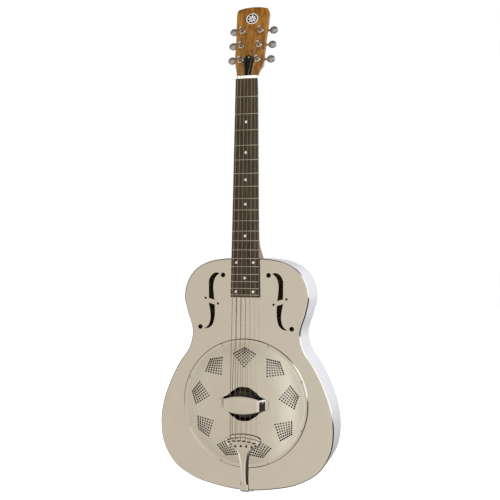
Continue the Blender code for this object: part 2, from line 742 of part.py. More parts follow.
def build_tuners(head):
    bushing_profile = [
        (4.2, 2.4), (6.4, 1.6), (6.4, 0.3), (4.7, 0.3), (4.7, -8), (3.4, -8), (3.4, 2.4),
    ]
    bushing_profile = [(radius * MM, height * MM) for radius, height in bushing_profile]
    ring = turned("tuner_bushing", bushing_profile, "chrome", None, 10, ring=True)
    bushing = evaluated_mesh(ring)
    meshes = {
        "tuner_bushing": finish_mesh(bushing),
        "tuner_housing": housing_mesh(),
        "tuner_post": post_mesh(),
        "tuner_key": key_mesh(),
    }
    for number, ((x, y), side) in enumerate(post_places(), 1):
        for name in ("tuner_bushing", "tuner_housing", "tuner_post"):
            add_part(f"{name}_{number}", meshes[name], "chrome", head, (x, y, 0))
        # The bass keys are the treble key turned half round, which keeps the worm's hand
        turn = 0 if side > 0 else pi
        place = (x, y + WORM_OFFSET, KEY_LEVEL)
        add_part(f"tuner_key_{number}", meshes["tuner_key"], "chrome", head, place, (0, turn, 0))


def add_string(number, points, radius):
    wire = bpy.data.curves.new(f"string_{number}", "CURVE")
    wire.dimensions = "3D"
    wire.bevel_depth = radius
    wire.bevel_resolution = 2
    wire.use_fill_caps = True
    spline = wire.splines.new("POLY")
    spline.points.add(len(points) - 1)
    for point, place in zip(spline.points, points):
        point.co = (*place, 1)
    string = bpy.data.objects.new(f"string_{number}", wire)
    PARTS.objects.link(string)
    wire.materials.append(material_for("string_bronze" if number < 5 else "string_steel"))


def build_strings(face, neck, head):
    bpy.context.view_layer.update()
    for index, ((post_x, post_y), side) in enumerate(post_places()):
        radius = STRING_RADII[index]
        tail_x = (index - 2.5) * STRING_SPACING_TAIL
        nut_x = (index - 2.5) * STRING_SPACING_NUT
        anchor = face.matrix_world @ Vector((tail_x, -72 * MM, TAIL_STRING_HEIGHT + radius))
        slot = face.matrix_world @ Vector((tail_x, -64 * MM, TAIL_STRING_HEIGHT + radius))
        crown = SADDLE_TOP - 1.3 * MM * (tail_x / SADDLE_HALF_LENGTH) ** 2
        saddle = face.matrix_world @ Vector((tail_x, 0, crown + GAP + radius))
        over_nut = BOARD_TOP + NUT_SLOT_FLOOR + GAP + radius
        nut_front = neck.matrix_world @ Vector((nut_x, NUT_Y + 0.4 * MM, over_nut))
        nut_back = neck.matrix_world @ Vector((nut_x, NUT_Y + NUT_DEPTH - 0.4 * MM, over_nut))
        inward = post_x - side * (WINDING_RADIUS + GAP + radius)
        post = head.matrix_world @ Vector((inward, post_y, WINDING_LEVEL))
        add_string(index + 1, [anchor, slot, saddle, nut_front, nut_back, post], radius)


# ---------------------------------------------------------------- tailpiece

def build_tailpiece(face):
    edge = TAIL_Z / MM
    stations = [
        (-61, 13.8, 27), (-67, 14.0, 35), (-79, 13.6, 34.5), (-86, 12.8, 25), (-91, 12.0, 15),
        (-104, 10.4, 10), (-128, 7.6, 7.8), (-150, 5.4, 7.9), (-164, 4.2, 8.8),
        (edge - 0.2, 2.6, 9),
        (edge - 2.3, 1.2, 9), (edge - 2.6, -1.5, 9), (edge - 2.6, -24, 9),
        (edge - 2.6, -60, 8.5),
    ]
    stations = [tuple(value * MM for value in station) for station in reversed(stations)]
    mesh = strip_mesh("tailpiece", stations, 1.4 * MM, 0.5 * MM, 4)
    part = add_part("tailpiece", mesh, "plated_steel", face)
    hole = cylinders_mesh("tail_hole", [(0, 0)], 2.8 * MM, -6 * MM, 6 * MM)
    place = (0, TAIL_Z - 2 * MM, PIN_LEVEL)
    combine(part, add_cutter("cutter_tail_hole", hole, face, place, (radians(90), 0, 0)))

    profile = [
        (0, 16), (1.8, 15), (1.8, -3.4), (6.4, -3.4), (4.2, -6.4), (4.4, -9.4),
        (7.2, -11.6), (7.2, -13.2), (5.6, -14.2), (0, -14.2),
    ]
    profile = [(radius * MM, height * MM) for radius, height in profile]
    pin = turned("strap_pin", profile, "chrome", face, 16, location=(0, TAIL_Z, PIN_LEVEL))
    pin.rotation_euler = (radians(-90), 0, 0)


# ---------------------------------------------------------------- assembly

def main():
    face = make_frame("face_frame", None, (0, -BODY_DEPTH, 0), radians(90))
    neck = make_frame("neck_frame", face, (0, BODY_JOINT, 0), -NECK_ANGLE)
    head = make_frame("head_frame", neck, (0, HEAD_Y, HEAD_Z), -HEAD_TILT)
    build_body(face)
    build_resonator(face)
    build_tailpiece(face)
    build_neck(neck, head)
    build_fretboard(neck)
    build_stick(face)
    build_truss_rod(neck, head)
    build_tuners(head)
    build_strings(face, neck, head)


clear_scene()
PARTS = make_collection("resonator_guitar")
CUTTERS = make_collection("cutters")
main()
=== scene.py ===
"""Looks of the resonator guitar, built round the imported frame.

Row frame: the guitar stands upright, +Z runs up the neck, the face looks along -Y and +X is the
treble side. Pieces are drawn in the same three working frames as the CAD part, each with X across,
Y along the strings and Z out of the front: at the saddle, at the body joint and at the nut.
"""

from bisect import bisect
from math import asin, cos, pi, radians, sin, sqrt

import bmesh
import bpy
from mathutils import Matrix, Vector
from mathutils.geometry import delaunay_2d_cdt
from mathutils.kdtree import KDTree


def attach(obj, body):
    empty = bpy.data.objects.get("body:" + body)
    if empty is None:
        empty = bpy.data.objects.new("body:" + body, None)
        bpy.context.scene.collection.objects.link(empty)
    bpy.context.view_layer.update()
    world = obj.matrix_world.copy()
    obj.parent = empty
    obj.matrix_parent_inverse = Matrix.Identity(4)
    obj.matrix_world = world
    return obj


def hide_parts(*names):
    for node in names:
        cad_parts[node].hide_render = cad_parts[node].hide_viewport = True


# Sizes in millimetres, angles in degrees
MM = 0.001
SCALE_LENGTH = 647.7
BODY_JOINT = SCALE_LENGTH * 2 ** (-14 / 12)
FRETS = 19
NUT_Y = SCALE_LENGTH - BODY_JOINT
NUT_DEPTH = 5.4
BODY_DEPTH = 88.0
EDGE = 3.6
SHEET = 1.0
TAIL_Z = -174.1
TAIL_END = -171.8
FLOOR = -0.1883  # metres
NECK_TILT = 0.8
HEAD_TILT = 15
BOARD_TOP = 7.05
BOARD_END = -77.3
TAIL_SPACING = 10.3
NUT_SPACING = 7.2
POST_SPACING = 32.8
WELL_RADIUS = 121.5
COVER_RADIUS = 126.6
COVER_SCREWS = 8
SCREW_CIRCLE = 125
KITES = 9
KITE_ROWS = 7
KITE_HOLE = 1.84
KEY_LEVEL = -19.0
GEAR_TEETH = 14
WORM_PITCH = 3.1
WORM_RADIUS = 2.55
TOOTH_HEIGHT = 0.55
GEAR_RADIUS = GEAR_TEETH * WORM_PITCH / (2 * pi)
WORM_OFFSET = WORM_RADIUS + GEAR_RADIUS + 0.55
STRING_RADII = (0.66, 0.53, 0.41, 0.32, 0.22, 0.17)
WOUND_STRINGS = 4

SCALED = Matrix.Scale(MM, 4)
FACE = Matrix.Translation((0, -BODY_DEPTH * MM, 0)) @ Matrix.Rotation(radians(90), 4, "X") @ SCALED
NECK = FACE @ Matrix.Translation((0, BODY_JOINT, 0)) @ Matrix.Rotation(radians(-NECK_TILT), 4, "X")
HEAD_PLACE = (0, NUT_Y + NUT_DEPTH + 0.3, -0.55)
HEAD_IN_NECK = Matrix.Translation(HEAD_PLACE) @ Matrix.Rotation(radians(-HEAD_TILT), 4, "X")
HEAD = NECK @ HEAD_IN_NECK

BODY_OUTLINE = (
    (0, 288.5), (44, 288.2), (84, 279.5), (108, 264), (123, 241), (129, 213), (123.6, 182),
    (111.9, 138), (118.5, 109), (140.6, 75), (161, 34), (174.8, -8), (179.3, -46), (174, -88),
    (150, -129), (110, -154.5), (55, -169), (0, TAIL_Z),
)
UPPER_SLOT = (
    ((65, 204.8), (67.2, 222), (67.2, 238), (62.5, 251.5), (54.5, 259)),
    ((54.5, 259), (62.5, 260.2), (70.5, 255.8), (76, 247), (77, 230), (76.8, 208.2)),
)
LOWER_SLOT = (
    ((77.2, 199.4), (73.8, 182), (73.6, 165), (77.5, 154), (86, 146.8)),
    ((86, 146.8), (77.5, 148.2), (69.5, 154.5), (65, 168), (63.9, 184), (64.4, 195.4)),
)
F_CIRCLES = ((47.2, 255.3, 4.8), (94.6, 150.3, 4.8), (83.7, 208.6, 2.4), (57.7, 197.6, 2.4))
COVER_PROFILE = (
    (0, 10.4), (26, 10.3), (52, 9.8), (84, 7.8), (106, 5.0), (121, 2.1), (125, 1.2), (140, -4),
)
WINDOW = ((0, 33.9), (11.3, 32.6), (19, 27.8), (26.8, 22.7), (33, 16.6), (42.2, 12.4))
HEAD_OUTLINE = (
    (0, 157.6), (12, 157), (25, 154.6), (31.2, 152), (33.6, 146), (33.4, 136), (32.2, 110),
    (30.9, 86), (30.2, 62), (29.2, 38), (27, 24), (24.2, 13.5),
)

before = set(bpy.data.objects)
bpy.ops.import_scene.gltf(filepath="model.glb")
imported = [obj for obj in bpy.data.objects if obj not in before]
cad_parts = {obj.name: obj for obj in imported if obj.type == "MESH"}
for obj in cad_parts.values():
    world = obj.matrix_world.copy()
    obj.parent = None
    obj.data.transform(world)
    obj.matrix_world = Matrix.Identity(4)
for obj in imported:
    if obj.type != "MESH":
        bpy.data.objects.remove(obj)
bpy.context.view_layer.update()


# ---- curves

def curve_point(before, start, end, after, fraction):
    """Point on the cubic from start to end; parabolas through three points give the end slopes."""
    step = (end - start).length
    step_before = (start - before).length or step
    step_after = (after - end).length or step
    slope = (end - start) / step
    leaving = (slope * step_before + (start - before) / step_before * step) / (step + step_before)
    arriving = (slope * step_after + (after - end) / step_after * step) / (step + step_after)
    t = fraction
    return (
        start * (2 * t**3 - 3 * t**2 + 1)
        + leaving * step * (t**3 - 2 * t**2 + t)
        + end * (3 * t**2 - 2 * t**3)
        + arriving * step * (t**3 - t**2)
    )


def smooth_between(points, steps):
    """Smooth curve from the second point up to the last but one."""
    return [
        curve_point(*points[i : i + 4], step / steps)
        for i in range(len(points) - 3)
        for step in range(steps)
    ]


def smooth_closed(points, steps):
    points = [Vector(point) for point in points]
    return smooth_between(points[-1:] + points + points[:2], steps)


def smooth_open(points, steps):
    """Smooth curve through the points, both ends included."""
    points = [Vector(point) for point in points]
    ends = [2 * points[0] - points[1]] + points + [2 * points[-1] - points[-2]]
    return smooth_between(ends, steps) + [points[-1]]


def mirrored(half):
    """Closed outline from its right half, whose first point is on the centre line."""
    half = [Vector(p) for p in half]
    return half + [Vector((-p.x, p.y)) for p in reversed(half) if p.x]


def full_turn(count):
    return [2 * pi * i / count for i in range(count)]


def arc(steps, total=pi):
    return [total * k / steps for k in range(steps + 1)]


def circle(x, y, radius, count):
    return [Vector((x + radius * cos(a), y + radius * sin(a))) for a in full_turn(count)]


def inset(outline, distance):
    """Clockwise outline moved inwards."""
    count = len(outline)
    result = []
    for i, point in enumerate(outline):
        along = (outline[(i + 1) % count] - outline[i - 1]).normalized()
        result.append(point + Vector((along.y, -along.x)) * distance)
    return result


def f_hole_loops(side):
    slots = (UPPER_SLOT, LOWER_SLOT)
    loops = [smooth_open(first, 5)[:-1] + smooth_open(second, 5) for first, second in slots]
    loops += [circle(x, y, radius, 28) for x, y, radius in F_CIRCLES]
    return [[Vector((side * point.x, point.y)) for point in loop] for loop in loops]


def string_x(index, spacing):
    return (index - 2.5) * spacing


def unit(value):
    return min(max(value, 0), 1)


def neighbours(loop):
    """Each item of a closed loop with the next."""
    return zip(loop, loop[1:] + loop[:1])


def inside(point, loop):
    odd = False
    for a, b in neighbours(loop):
        if (a.y > point.y) != (b.y > point.y):
            if point.x < a.x + (point.y - a.y) * (b.x - a.x) / (b.y - a.y):
                odd = not odd
    return odd


# ---- pieces

def linked(name, data):
    """New object in the scene."""
    obj = bpy.data.objects.new(name, data)
    bpy.context.scene.collection.objects.link(obj)
    return obj


def new_mesh(name, verts, faces):
    mesh = bpy.data.meshes.new(name)
    mesh.from_pydata([tuple(v) for v in verts], [], faces)
    return mesh


def add_piece(
    name, verts, faces, place, material, node=None, body="guitar", slot=None, normals=None, sharp=38
):
    """Mesh piece drawn in a working frame; normals hold one direction for each face corner."""
    mesh = new_mesh(name, verts, faces)
    mesh.materials.append(material)
    mesh.shade_smooth()
    mesh.set_sharp_from_angle(angle=radians(sharp))
    if normals:
        mesh.normals_split_custom_set(normals)
    mesh.transform(place)
    obj = linked(name, mesh)
    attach(obj, body)
    if node:
        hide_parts(node)
    return obj


def add_sheet(name, made, place, material, node=None):
    """Piece from a sheet's verts, faces and corner directions."""
    return add_piece(name, *made[:2], place, material, node, normals=made[2])


def from_bmesh(shaped):
    """Verts and faces of a closed skin, turned to face outwards."""
    bmesh.ops.recalc_face_normals(shaped, faces=shaped.faces)
    if shaped.calc_volume(signed=True) < 0:
        bmesh.ops.reverse_faces(shaped, faces=shaped.faces)
    return listed(shaped)


def listed(shaped):
    shaped.verts.index_update()
    verts = [v.co.copy() for v in shaped.verts]
    faces = [[v.index for v in f.verts] for f in shaped.faces]
    shaped.free()
    return verts, faces


def loft(rings, closed=False):
    """Skin over rings of equal count or single points: capped at its ends, or joined end to end."""
    shaped = bmesh.new()
    rows = [[shaped.verts.new(point) for point in ring] for ring in rings]
    count = max(len(row) for row in rows)
    for row, following in zip(rows, rows[1:] + (rows[:1] if closed else [])):
        for i in range(count):
            around = ((row, i), (row, i + 1), (following, i + 1), (following, i))
            corners = list(dict.fromkeys(points[k % len(points)] for points, k in around))
            if len(corners) > 2:
                shaped.faces.new(corners)
    for row in (rows[0], rows[-1]):
        if len(row) > 2 and not closed:
            shaped.faces.new(row)
    return from_bmesh(shaped)


def turned(profile, steps, closed=False):
    """Profile of (radius, height) turned about Z; an open one starts and ends on the axis."""
    rings = []
    for radius, height in profile:
        ring = circle(0, 0, radius, steps) if radius > 1e-6 else [Vector((0, 0))]
        rings.append([(p.x, p.y, height) for p in ring])
    return loft(rings, closed)


def rounded(profile, radius):
    """Open profile with each inner corner rounded by about the radius, in four steps."""
    points = [Vector(p) for p in profile]
    result = [points[0]]
    for before, corner, after in zip(points, points[1:], points[2:]):
        reach = min(radius, (corner - before).length * 0.45, (after - corner).length * 0.45)
        start = corner + (before - corner).normalized() * reach
        end = corner + (after - corner).normalized() * reach
        for t in (0, 0.25, 0.5, 0.75, 1):
            result.append(start * (1 - t) ** 2 + corner * 2 * t * (1 - t) + end * t * t)
    return result + [points[-1]]


def span(points, i):
    """From the point before to the point after, or to or from the point itself at an end."""
    return points[min(i + 1, len(points) - 1)] - points[max(i - 1, 0)]


def tube(points, radius, count=10):
    """Round wire along the points."""
    points = [Vector(p) for p in points]
    side = Vector((1, 0.02, 0.01))
    rings = []
    for i, point in enumerate(points):
        along = span(points, i).normalized()
        side = (side - along * side.dot(along)).normalized()
        other = along.cross(side)
        turns = full_turn(count)
        rings.append([point + (side * cos(a) + other * sin(a)) * radius for a in turns])
    return loft(rings)


def joined(parts):
    """Several (verts, faces) as one."""
    verts, faces = [], []
    for part_verts, part_faces in parts:
        faces += [[i + len(verts) for i in face] for face in part_faces]
        verts += part_verts
    return verts, faces


def moved(part, matrix):
    verts, faces = part
    return [matrix @ Vector(v) for v in verts], faces


def planar(loops, extra=()):
    """Triangles between the first loop and the holes: points, triangles and the loops' indices."""
    points, edges = [], []
    for loop in loops:
        first = len(points)
        points += [Vector(p[:2]) for p in loop]
        edges += [(first + i, first + (i + 1) % len(loop)) for i in range(len(loop))]
    points += [Vector(p[:2]) for p in extra]
    out_points, _, out_faces, origins = delaunay_2d_cdt(points, edges, [], 0, 1e-4)[:4]
    new_index = {old: new for new, olds in enumerate(origins) for old in olds}
    holes = loops[1:]
    boxes = [
        (min(p.x for p in h), max(p.x for p in h), min(p.y for p in h), max(p.y for p in h))
        for h in holes
    ]
    kept = []
    for face in out_faces:
        a, b, c = (out_points[i] for i in face)
        middle = sum((a, b, c), Vector((0, 0))) / 3
        if inside(middle, loops[0]) and not any(
            x0 < middle.x < x1 and y0 < middle.y < y1 and inside(middle, hole)
            for hole, (x0, x1, y0, y1) in zip(holes, boxes)
        ):
            kept.append(list(face) if (b - a).cross(c - a) > 0 else list(reversed(face)))
    rows, first = [], 0
    for loop in loops:
        rows.append([new_index[first + i] for i in range(len(loop))])
        first += len(loop)
    return out_points, kept, rows


def bridge(shaped, row, following):
    """Faces between two closed rows of equal count."""
    pairs = zip(neighbours(row), neighbours(following))
    return [shaped.faces.new((a, b, d, c)) for (a, b), (c, d) in pairs]


def sheet(loops, thickness, height, extra=(), *, rim):
    """Sheet with holes over a height field, its edge carried on by (out, down, tilt) steps.

    Returns verts, faces and a direction for each face corner, zero where the wall's own serves.
    """
    points, triangles, rows = planar(loops, extra)
    shaped = bmesh.new()
    ups = [field_normal(height, p) for p in points]
    top = [shaped.verts.new((p.x, p.y, height(p))) for p in points]
    under = [shaped.verts.new(v.co - up * thickness) for v, up in zip(top, ups)]
    direction = dict(zip(top, ups)) | {v: -up for v, up in zip(under, ups)}
    skin = [shaped.faces.new([top[i] for i in face]) for face in triangles]
    skin += [shaped.faces.new([under[i] for i in face]) for face in triangles]
    for row in rows[1:]:
        for a, b in neighbours(row):
            shaped.faces.new((top[a], top[b], under[b], under[a]))
    edge = rows[0]
    size = len(edge)
    turn = sum(points[a].cross(points[b]) for a, b in neighbours(edge))
    sides = []
    for i in range(size):
        along = (points[edge[(i + 1) % size]] - points[edge[i - 1]]).normalized()
        sides.append(Vector((along.y, -along.x, 0)) * (1 if turn > 0 else -1))
    previous = [top[i] for i in edge]
    for out, down, tilt in rim:
        ring = [
            shaped.verts.new(top[e].co + side * out - Vector((0, 0, down)))
            for e, side in zip(edge, sides)
        ]
        band = bridge(shaped, previous, ring)
        if tilt is not None:
            skin += band
            for v, side in zip(ring, sides):
                direction[v] = side * sin(tilt) + Vector((0, 0, cos(tilt)))
        previous = ring
    bridge(shaped, previous, [under[i] for i in edge])
    bmesh.ops.recalc_face_normals(shaped, faces=shaped.faces)
    bmesh.ops.delete(shaped, geom=[v for v in shaped.verts if not v.link_faces], context="VERTS")
    smooth = set(skin)
    normals = [
        tuple(direction[v]) if f in smooth else (0, 0, 0) for f in shaped.faces for v in f.verts
    ]
    return *listed(shaped), normals


def field_normal(height, p):
    step = 0.15
    dx = height(p + Vector((step, 0))) - height(p - Vector((step, 0)))
    dy = height(p + Vector((0, step))) - height(p - Vector((0, step)))
    return Vector((-dx, -dy, 2 * step)).normalized()


def roll(radius, drop, steps):
    """Edge steps of a quarter round, then straight down by the drop."""
    around = [(radius * sin(a), radius * (1 - cos(a)), a) for a in arc(steps, pi / 2)[1:]]
    return around + [(radius, radius + drop, pi / 2)]


def table_height(table):
    """Smooth height against distance, from (distance, height) pairs with distance rising."""
    curve = smooth_open(table, 16)
    places = [p.x for p in curve[1:-1]]

    def height(distance):
        low = bisect(places, distance)
        a, b = curve[low], curve[low + 1]
        return a.y + (b.y - a.y) * (distance - a.x) / (b.x - a.x)

    return height


# ---- materials

def new_material(name):
    material = bpy.data.materials.new(name)
    material.use_nodes = True
    tree = material.node_tree
    return material, tree, tree.nodes["Principled BSDF"]


def fill(node, values):
    """Sets inputs of the node to constants, or links them to outputs of other nodes."""
    for name, value in values.items():
        if isinstance(value, bpy.types.NodeSocket):
            node.id_data.links.new(value, node.inputs[name])
        else:
            node.inputs[name].default_value = value


def new_node(tree, kind, values):
    node = tree.nodes.new(kind)
    fill(node, values)
    return node


def noise(tree, scale, stretch=(1, 1, 1), detail=4, distortion=0):
    """Noise on the rest position in metres, stretched along the axes."""
    where = tree.nodes.new("ShaderNodeTexCoord").outputs["Object"]
    spot = new_node(tree, "ShaderNodeMapping", {"Vector": where, "Scale": stretch}).outputs[0]
    values = {"Vector": spot, "Scale": scale, "Detail": detail, "Distortion": distortion}
    return new_node(tree, "ShaderNodeTexNoise", values).outputs[0]


def ramp(tree, source, stops):
    """Colour ramp through (place, colour) stops, where a single number is a grey."""
    node = tree.nodes.new("ShaderNodeValToRGB")
    elements = node.color_ramp.elements
    while len(elements) < len(stops):
        elements.new(0.5)
    for element, (place, colour) in zip(elements, stops):
        element.position = place
        element.color = (*(colour if isinstance(colour, tuple) else (colour,) * 3), 1)
    tree.links.new(source, node.inputs["Fac"])
    return node.outputs["Color"]


def spread(tree, source, low, high, start=0.35, end=0.65):
    """Source from start to end carried over to the range from low to high."""
    values = {"Value": source, "From Min": start, "From Max": end, "To Min": low, "To Max": high}
    return new_node(tree, "ShaderNodeMapRange", values).outputs["Result"]


def surface(name, stops, rough, tint, gloss, relief, depth, strength, settings):
    """Material with noises, each (scale, stretch, ...), behind its tint, roughness and relief."""
    material, tree, shader = new_material(name)
    relief = {"Height": noise(tree, *relief), "Distance": depth, "Strength": strength}
    fill(shader, settings | {
        "Base Color": ramp(tree, noise(tree, *tint), stops),
        "Roughness": spread(tree, noise(tree, *gloss), *rough),
        "Normal": new_node(tree, "ShaderNodeBump", relief).outputs["Normal"],
    })
    return material


def metal(name, colour, other, rough, stretch=(1, 1, 1), cloud=28):
    """Plated or drawn metal: cloudy tint, handling marks in the roughness, a faint ripple."""
    return surface(
        name, ((0.3, colour), (0.7, other)), rough, (cloud, stretch, 4), (cloud * 5, stretch, 6),
        (cloud * 0.5, stretch, 1), 0.00002, 0.4, {"Metallic": 1},
    )


def wood(name, stops, rough, grain, figure=2.2, coat=0):
    """Wood with its grain along the neck: broad figure, fine streaks and open pores."""
    fine = (14, grain, 5)
    settings = {"Coat Weight": coat, "Coat Roughness": 0.12}
    return surface(name, stops, rough, (figure, grain, 3, 0.6), fine, fine, 0.00006, 1, settings)


def smooth_stuff(name, colour, other, rough, cloud=120, coat=0, shine=0.5):
    """Plastic, bone, shell or paint: a little variation in tint and gloss."""
    stops, clouds = ((0.35, colour), (0.65, other)), (cloud,)
    settings = {"Coat Weight": coat, "Specular IOR Level": shine}
    return surface(name, stops, rough, clouds, clouds, clouds, 0.00001, 1, settings)


def cone_metal_painted_shade():
    """Spun aluminium with painted shade: dark round the bridge under the cover, bright toward its
    edge.
    """
    material, tree, shader = new_material("spun_aluminium")
    where = tree.nodes.new("ShaderNodeTexCoord").outputs["Object"]
    level = new_node(tree, "ShaderNodeVectorMath", {0: where, 1: (1, 0, 1)})
    level.operation = "MULTIPLY"
    reach = new_node(tree, "ShaderNodeVectorMath", {0: level.outputs[0]})
    reach.operation = "LENGTH"
    distance = spread(tree, reach.outputs["Value"], 0, 1, 0, 0.125)
    # painted shade: the ramp darkens the cone toward its middle, where the cover and hand rest shade
    # it
    tint = (
        (0.0, (0.03, 0.028, 0.026)), (0.34, (0.05, 0.047, 0.043)), (0.5, 0.42),
        (0.8, (0.66, 0.66, 0.67)),
    )
    fill(shader, {
        "Metallic": 1, "Base Color": ramp(tree, distance, tint),
        "Roughness": spread(tree, noise(tree, 60), 0.24, 0.38),
    })
    return material


NICKEL = metal("body_nickel", (0.86, 0.855, 0.85), (0.89, 0.885, 0.88), (0.07, 0.12))
COVER_NICKEL = metal("cover_nickel", (0.85, 0.845, 0.84), (0.89, 0.885, 0.88), (0.08, 0.13))
TAIL_NICKEL = metal("tailpiece_nickel", (0.87, 0.865, 0.86), (0.91, 0.905, 0.90), (0.05, 0.10))
CHROME = metal("tuner_chrome", (0.84, 0.82, 0.85), (0.92, 0.90, 0.93), (0.14, 0.24), cloud=90)
BUTTON_CHROME = metal("button_chrome", (0.58, 0.59, 0.66), (0.70, 0.71, 0.78), (0.36, 0.46), cloud=90)
STEEL = metal("screw_steel", (0.72, 0.71, 0.69), (0.82, 0.81, 0.79), (0.14, 0.26), cloud=200)
FRET_METAL = metal("fret_nickel", (0.66, 0.63, 0.58), (0.78, 0.75, 0.70), (0.18, 0.30), cloud=160)
PLAIN_WIRE = metal("plain_wire", (0.66, 0.63, 0.56), (0.80, 0.77, 0.70), (0.14, 0.24), (1, 1, 0.2))
WOUND_WIRE = metal("bronze_winding", (0.38, 0.31, 0.22), (0.54, 0.46, 0.35), (0.22, 0.34), (1, 1, 0.2))
CONE_METAL = cone_metal_painted_shade()
INSIDE = smooth_stuff("inside_lacquer", (0.22, 0.15, 0.075), (0.32, 0.225, 0.12), (0.5, 0.8))
FELT = smooth_stuff("dark_felt", (0.030, 0.022, 0.013), (0.060, 0.045, 0.026), (0.8, 0.95), shine=0.2)
MAHOGANY = wood(
    "neck_mahogany",
    ((0.30, (0.095, 0.032, 0.002)), (0.5, (0.205, 0.082, 0.004)), (0.72, (0.33, 0.145, 0.010))),
    (0.28, 0.42), grain=(70, 70, 6), coat=0.08,
)
ROSEWOOD = wood(
    "board_rosewood",
    ((0.28, (0.010, 0.006, 0.003)), (0.5, (0.026, 0.016, 0.008)), (0.75, (0.056, 0.036, 0.018))),
    (0.32, 0.55), grain=(150, 150, 4), figure=3.0,
)
MAPLE = wood(
    "plain_maple",
    ((0.3, (0.42, 0.27, 0.13)), (0.55, (0.58, 0.41, 0.22)), (0.8, (0.68, 0.52, 0.32))),
    (0.45, 0.65), grain=(40, 40, 6),
)
# Painted shade: maple for the biscuit and saddle, painted near black for the shade under the hand rest
# and cover
MAPLE_PAINTED_SHADE = wood(
    "maple_painted_shade",
    ((0.3, (0.012, 0.009, 0.007)), (0.55, (0.026, 0.020, 0.015)), (0.8, (0.05, 0.038, 0.028))),
    (0.45, 0.65), grain=(40, 6, 40),
)
BONE = smooth_stuff("nut_bone", (0.84, 0.80, 0.70), (0.93, 0.91, 0.85), (0.22, 0.40))
BLACK = smooth_stuff(
    "black_plate", (0.003, 0.003, 0.004), (0.007, 0.007, 0.008), (0.12, 0.2), shine=0.2
)
PEARL = smooth_stuff("pearl_dots", (0.42, 0.39, 0.34), (0.64, 0.61, 0.55), (0.15, 0.30), 700, 0.3)
INLAY = smooth_stuff("emblem_shell", (0.34, 0.32, 0.33), (0.72, 0.70, 0.71), (0.12, 0.28), 420, 0.3)


# ---- body

def flat(_):
    return 0.0


def build_body():
    outline = smooth_closed(mirrored(BODY_OUTLINE), 9)
    skin = inset(outline, EDGE)
    well = circle(0, 0, WELL_RADIUS, 96)
    loops = [skin, well, *f_hole_loops(1), *f_hole_loops(-1)]
    edge = roll(EDGE, 0.8, 8) + [(EDGE - 0.9, EDGE + 0.8, None)]
    obj = add_sheet("top_sheet", sheet(loops, SHEET, flat, rim=edge), FACE, NICKEL, "body_top")
    darken(obj, backward(0.9))
    back = turned_round(*sheet([skin], SHEET, flat, rim=edge))
    obj = add_sheet("back_sheet", back, FACE, NICKEL, "body_back")
    darken(obj, lambda _, normal: normal.y < -0.9)

    outer, inner = inset(outline, 0.15), inset(outline, 0.15 + SHEET)
    high, low = -EDGE - 0.5, EDGE + 0.5 - BODY_DEPTH
    rings = [[(*a, high), (*a, low), (*b, low), (*b, high)] for a, b in zip(outer, inner)]
    obj = add_piece("side_band", *loft(rings, closed=True), FACE, NICKEL, "body_rim")
    darken(obj, lambda centre, normal: abs(normal.y) < 0.5 and not outward(centre, normal))


def turned_round(verts, faces, normals):
    """Sheet mirrored from the front of the body to its back, its faces looking outwards."""
    corners, result = iter(normals), []
    for face in faces:
        result += [(x, y, -z) for x, y, z in reversed([next(corners) for _ in face])]
    return [(v.x, v.y, -BODY_DEPTH - v.z) for v in verts], [face[::-1] for face in faces], result


def outward(centre, normal):
    """True if a face of the side band looks away from the body's middle line."""
    middle = Vector((0, centre.y, max(-0.09, min(0.2, centre.z))))
    return normal.dot(centre - middle) > 0


def darken(obj, chosen):
    """Gives the chosen faces, the ones that look into the body, its inner lacquer."""
    obj.data.materials.append(INSIDE)
    for polygon in obj.data.polygons:
        if chosen(polygon.center, polygon.normal):
            polygon.material_index = 1


def backward(limit):
    return lambda _, normal: normal.y > limit


def kite_holes():
    """Places of the small holes: kites of rows that run along the kite's two outer edges."""
    tip, heel = Vector((0, 111)), Vector((0, 74.2))
    right, left = Vector((22, 98.9)), Vector((-22, 98.9))
    steps = [i / (KITE_ROWS - 1) for i in range(KITE_ROWS)]
    places = []
    for number in range(KITES):
        turn = Matrix.Rotation(-number * 2 * pi / KITES, 2)
        for s in steps:
            for t in steps:
                outer = tip * (1 - s) * (1 - t) + right * s * (1 - t)
                places.append(turn @ (outer + left * (1 - s) * t + heel * s * t))
    return places


def build_cover():
    dome = table_height(COVER_PROFILE)

    def height(p):
        crown, flange = dome(p.length), 2.0
        return 0.5 * (crown + flange + sqrt((crown - flange) ** 2 + 0.03))

    window = smooth_open(WINDOW, 5)
    half = window + [Vector((43.3, 12.2)), Vector((43.3, -12.2))]
    opening = mirrored(half + [Vector((p.x, -p.y)) for p in reversed(window)])
    holes = kite_holes()
    tree = KDTree(len(holes))
    for index, spot in enumerate(holes):
        tree.insert((*spot, 0), index)
    tree.balance()
    spacing = 4.2
    radii = [12 + spacing * i for i in range(25)]
    radii += [115.5, 117.5, 118.8, 119.6, 120.2, 120.7, 121.2, 121.7, 122.4, 124]
    extra = []
    for radius in radii:
        for spot in circle(0, 0, radius, max(12, int(2 * pi * radius / spacing))):
            clear = tree.find((*spot, 0))[2] > 2.5
            inner = Vector((spot.x * 0.95, spot.y * 0.92))
            if clear and not inside(inner, opening):
                extra.append(spot)
    loops = [circle(0, 0, COVER_RADIUS, 180), opening]
    loops += [circle(*spot, KITE_HOLE, 10) for spot in holes]
    edge = [(0.3, 0.06, 0.44), (0.7, 0.32, 0.7), (1.9, 1.42, 0.78), (2.2, 1.9, 1.13)]
    made = sheet(loops, SHEET, height, extra, rim=edge)
    obj = add_sheet("cover_dome", made, FACE, COVER_NICKEL, "cover_plate")
    darken(obj, backward(0.1))

    head = rounded([(0, 3.3), (1.9, 3.0), (2.75, 1.65), (2.6, 1.35)], 0.8)
    head += [Vector(p) for p in ((1.2, 1.35), (1.2, -5), (0, -6))]
    for number in range(1, COVER_SCREWS + 1):
        angle = (number - 0.5) * 2 * pi / COVER_SCREWS
        spot = (SCREW_CIRCLE * sin(angle), SCREW_CIRCLE * cos(angle))
        slotted_screw(f"cover_screw_head_{number}", head, 3.4, spot, FACE, f"cover_screw_{number}")


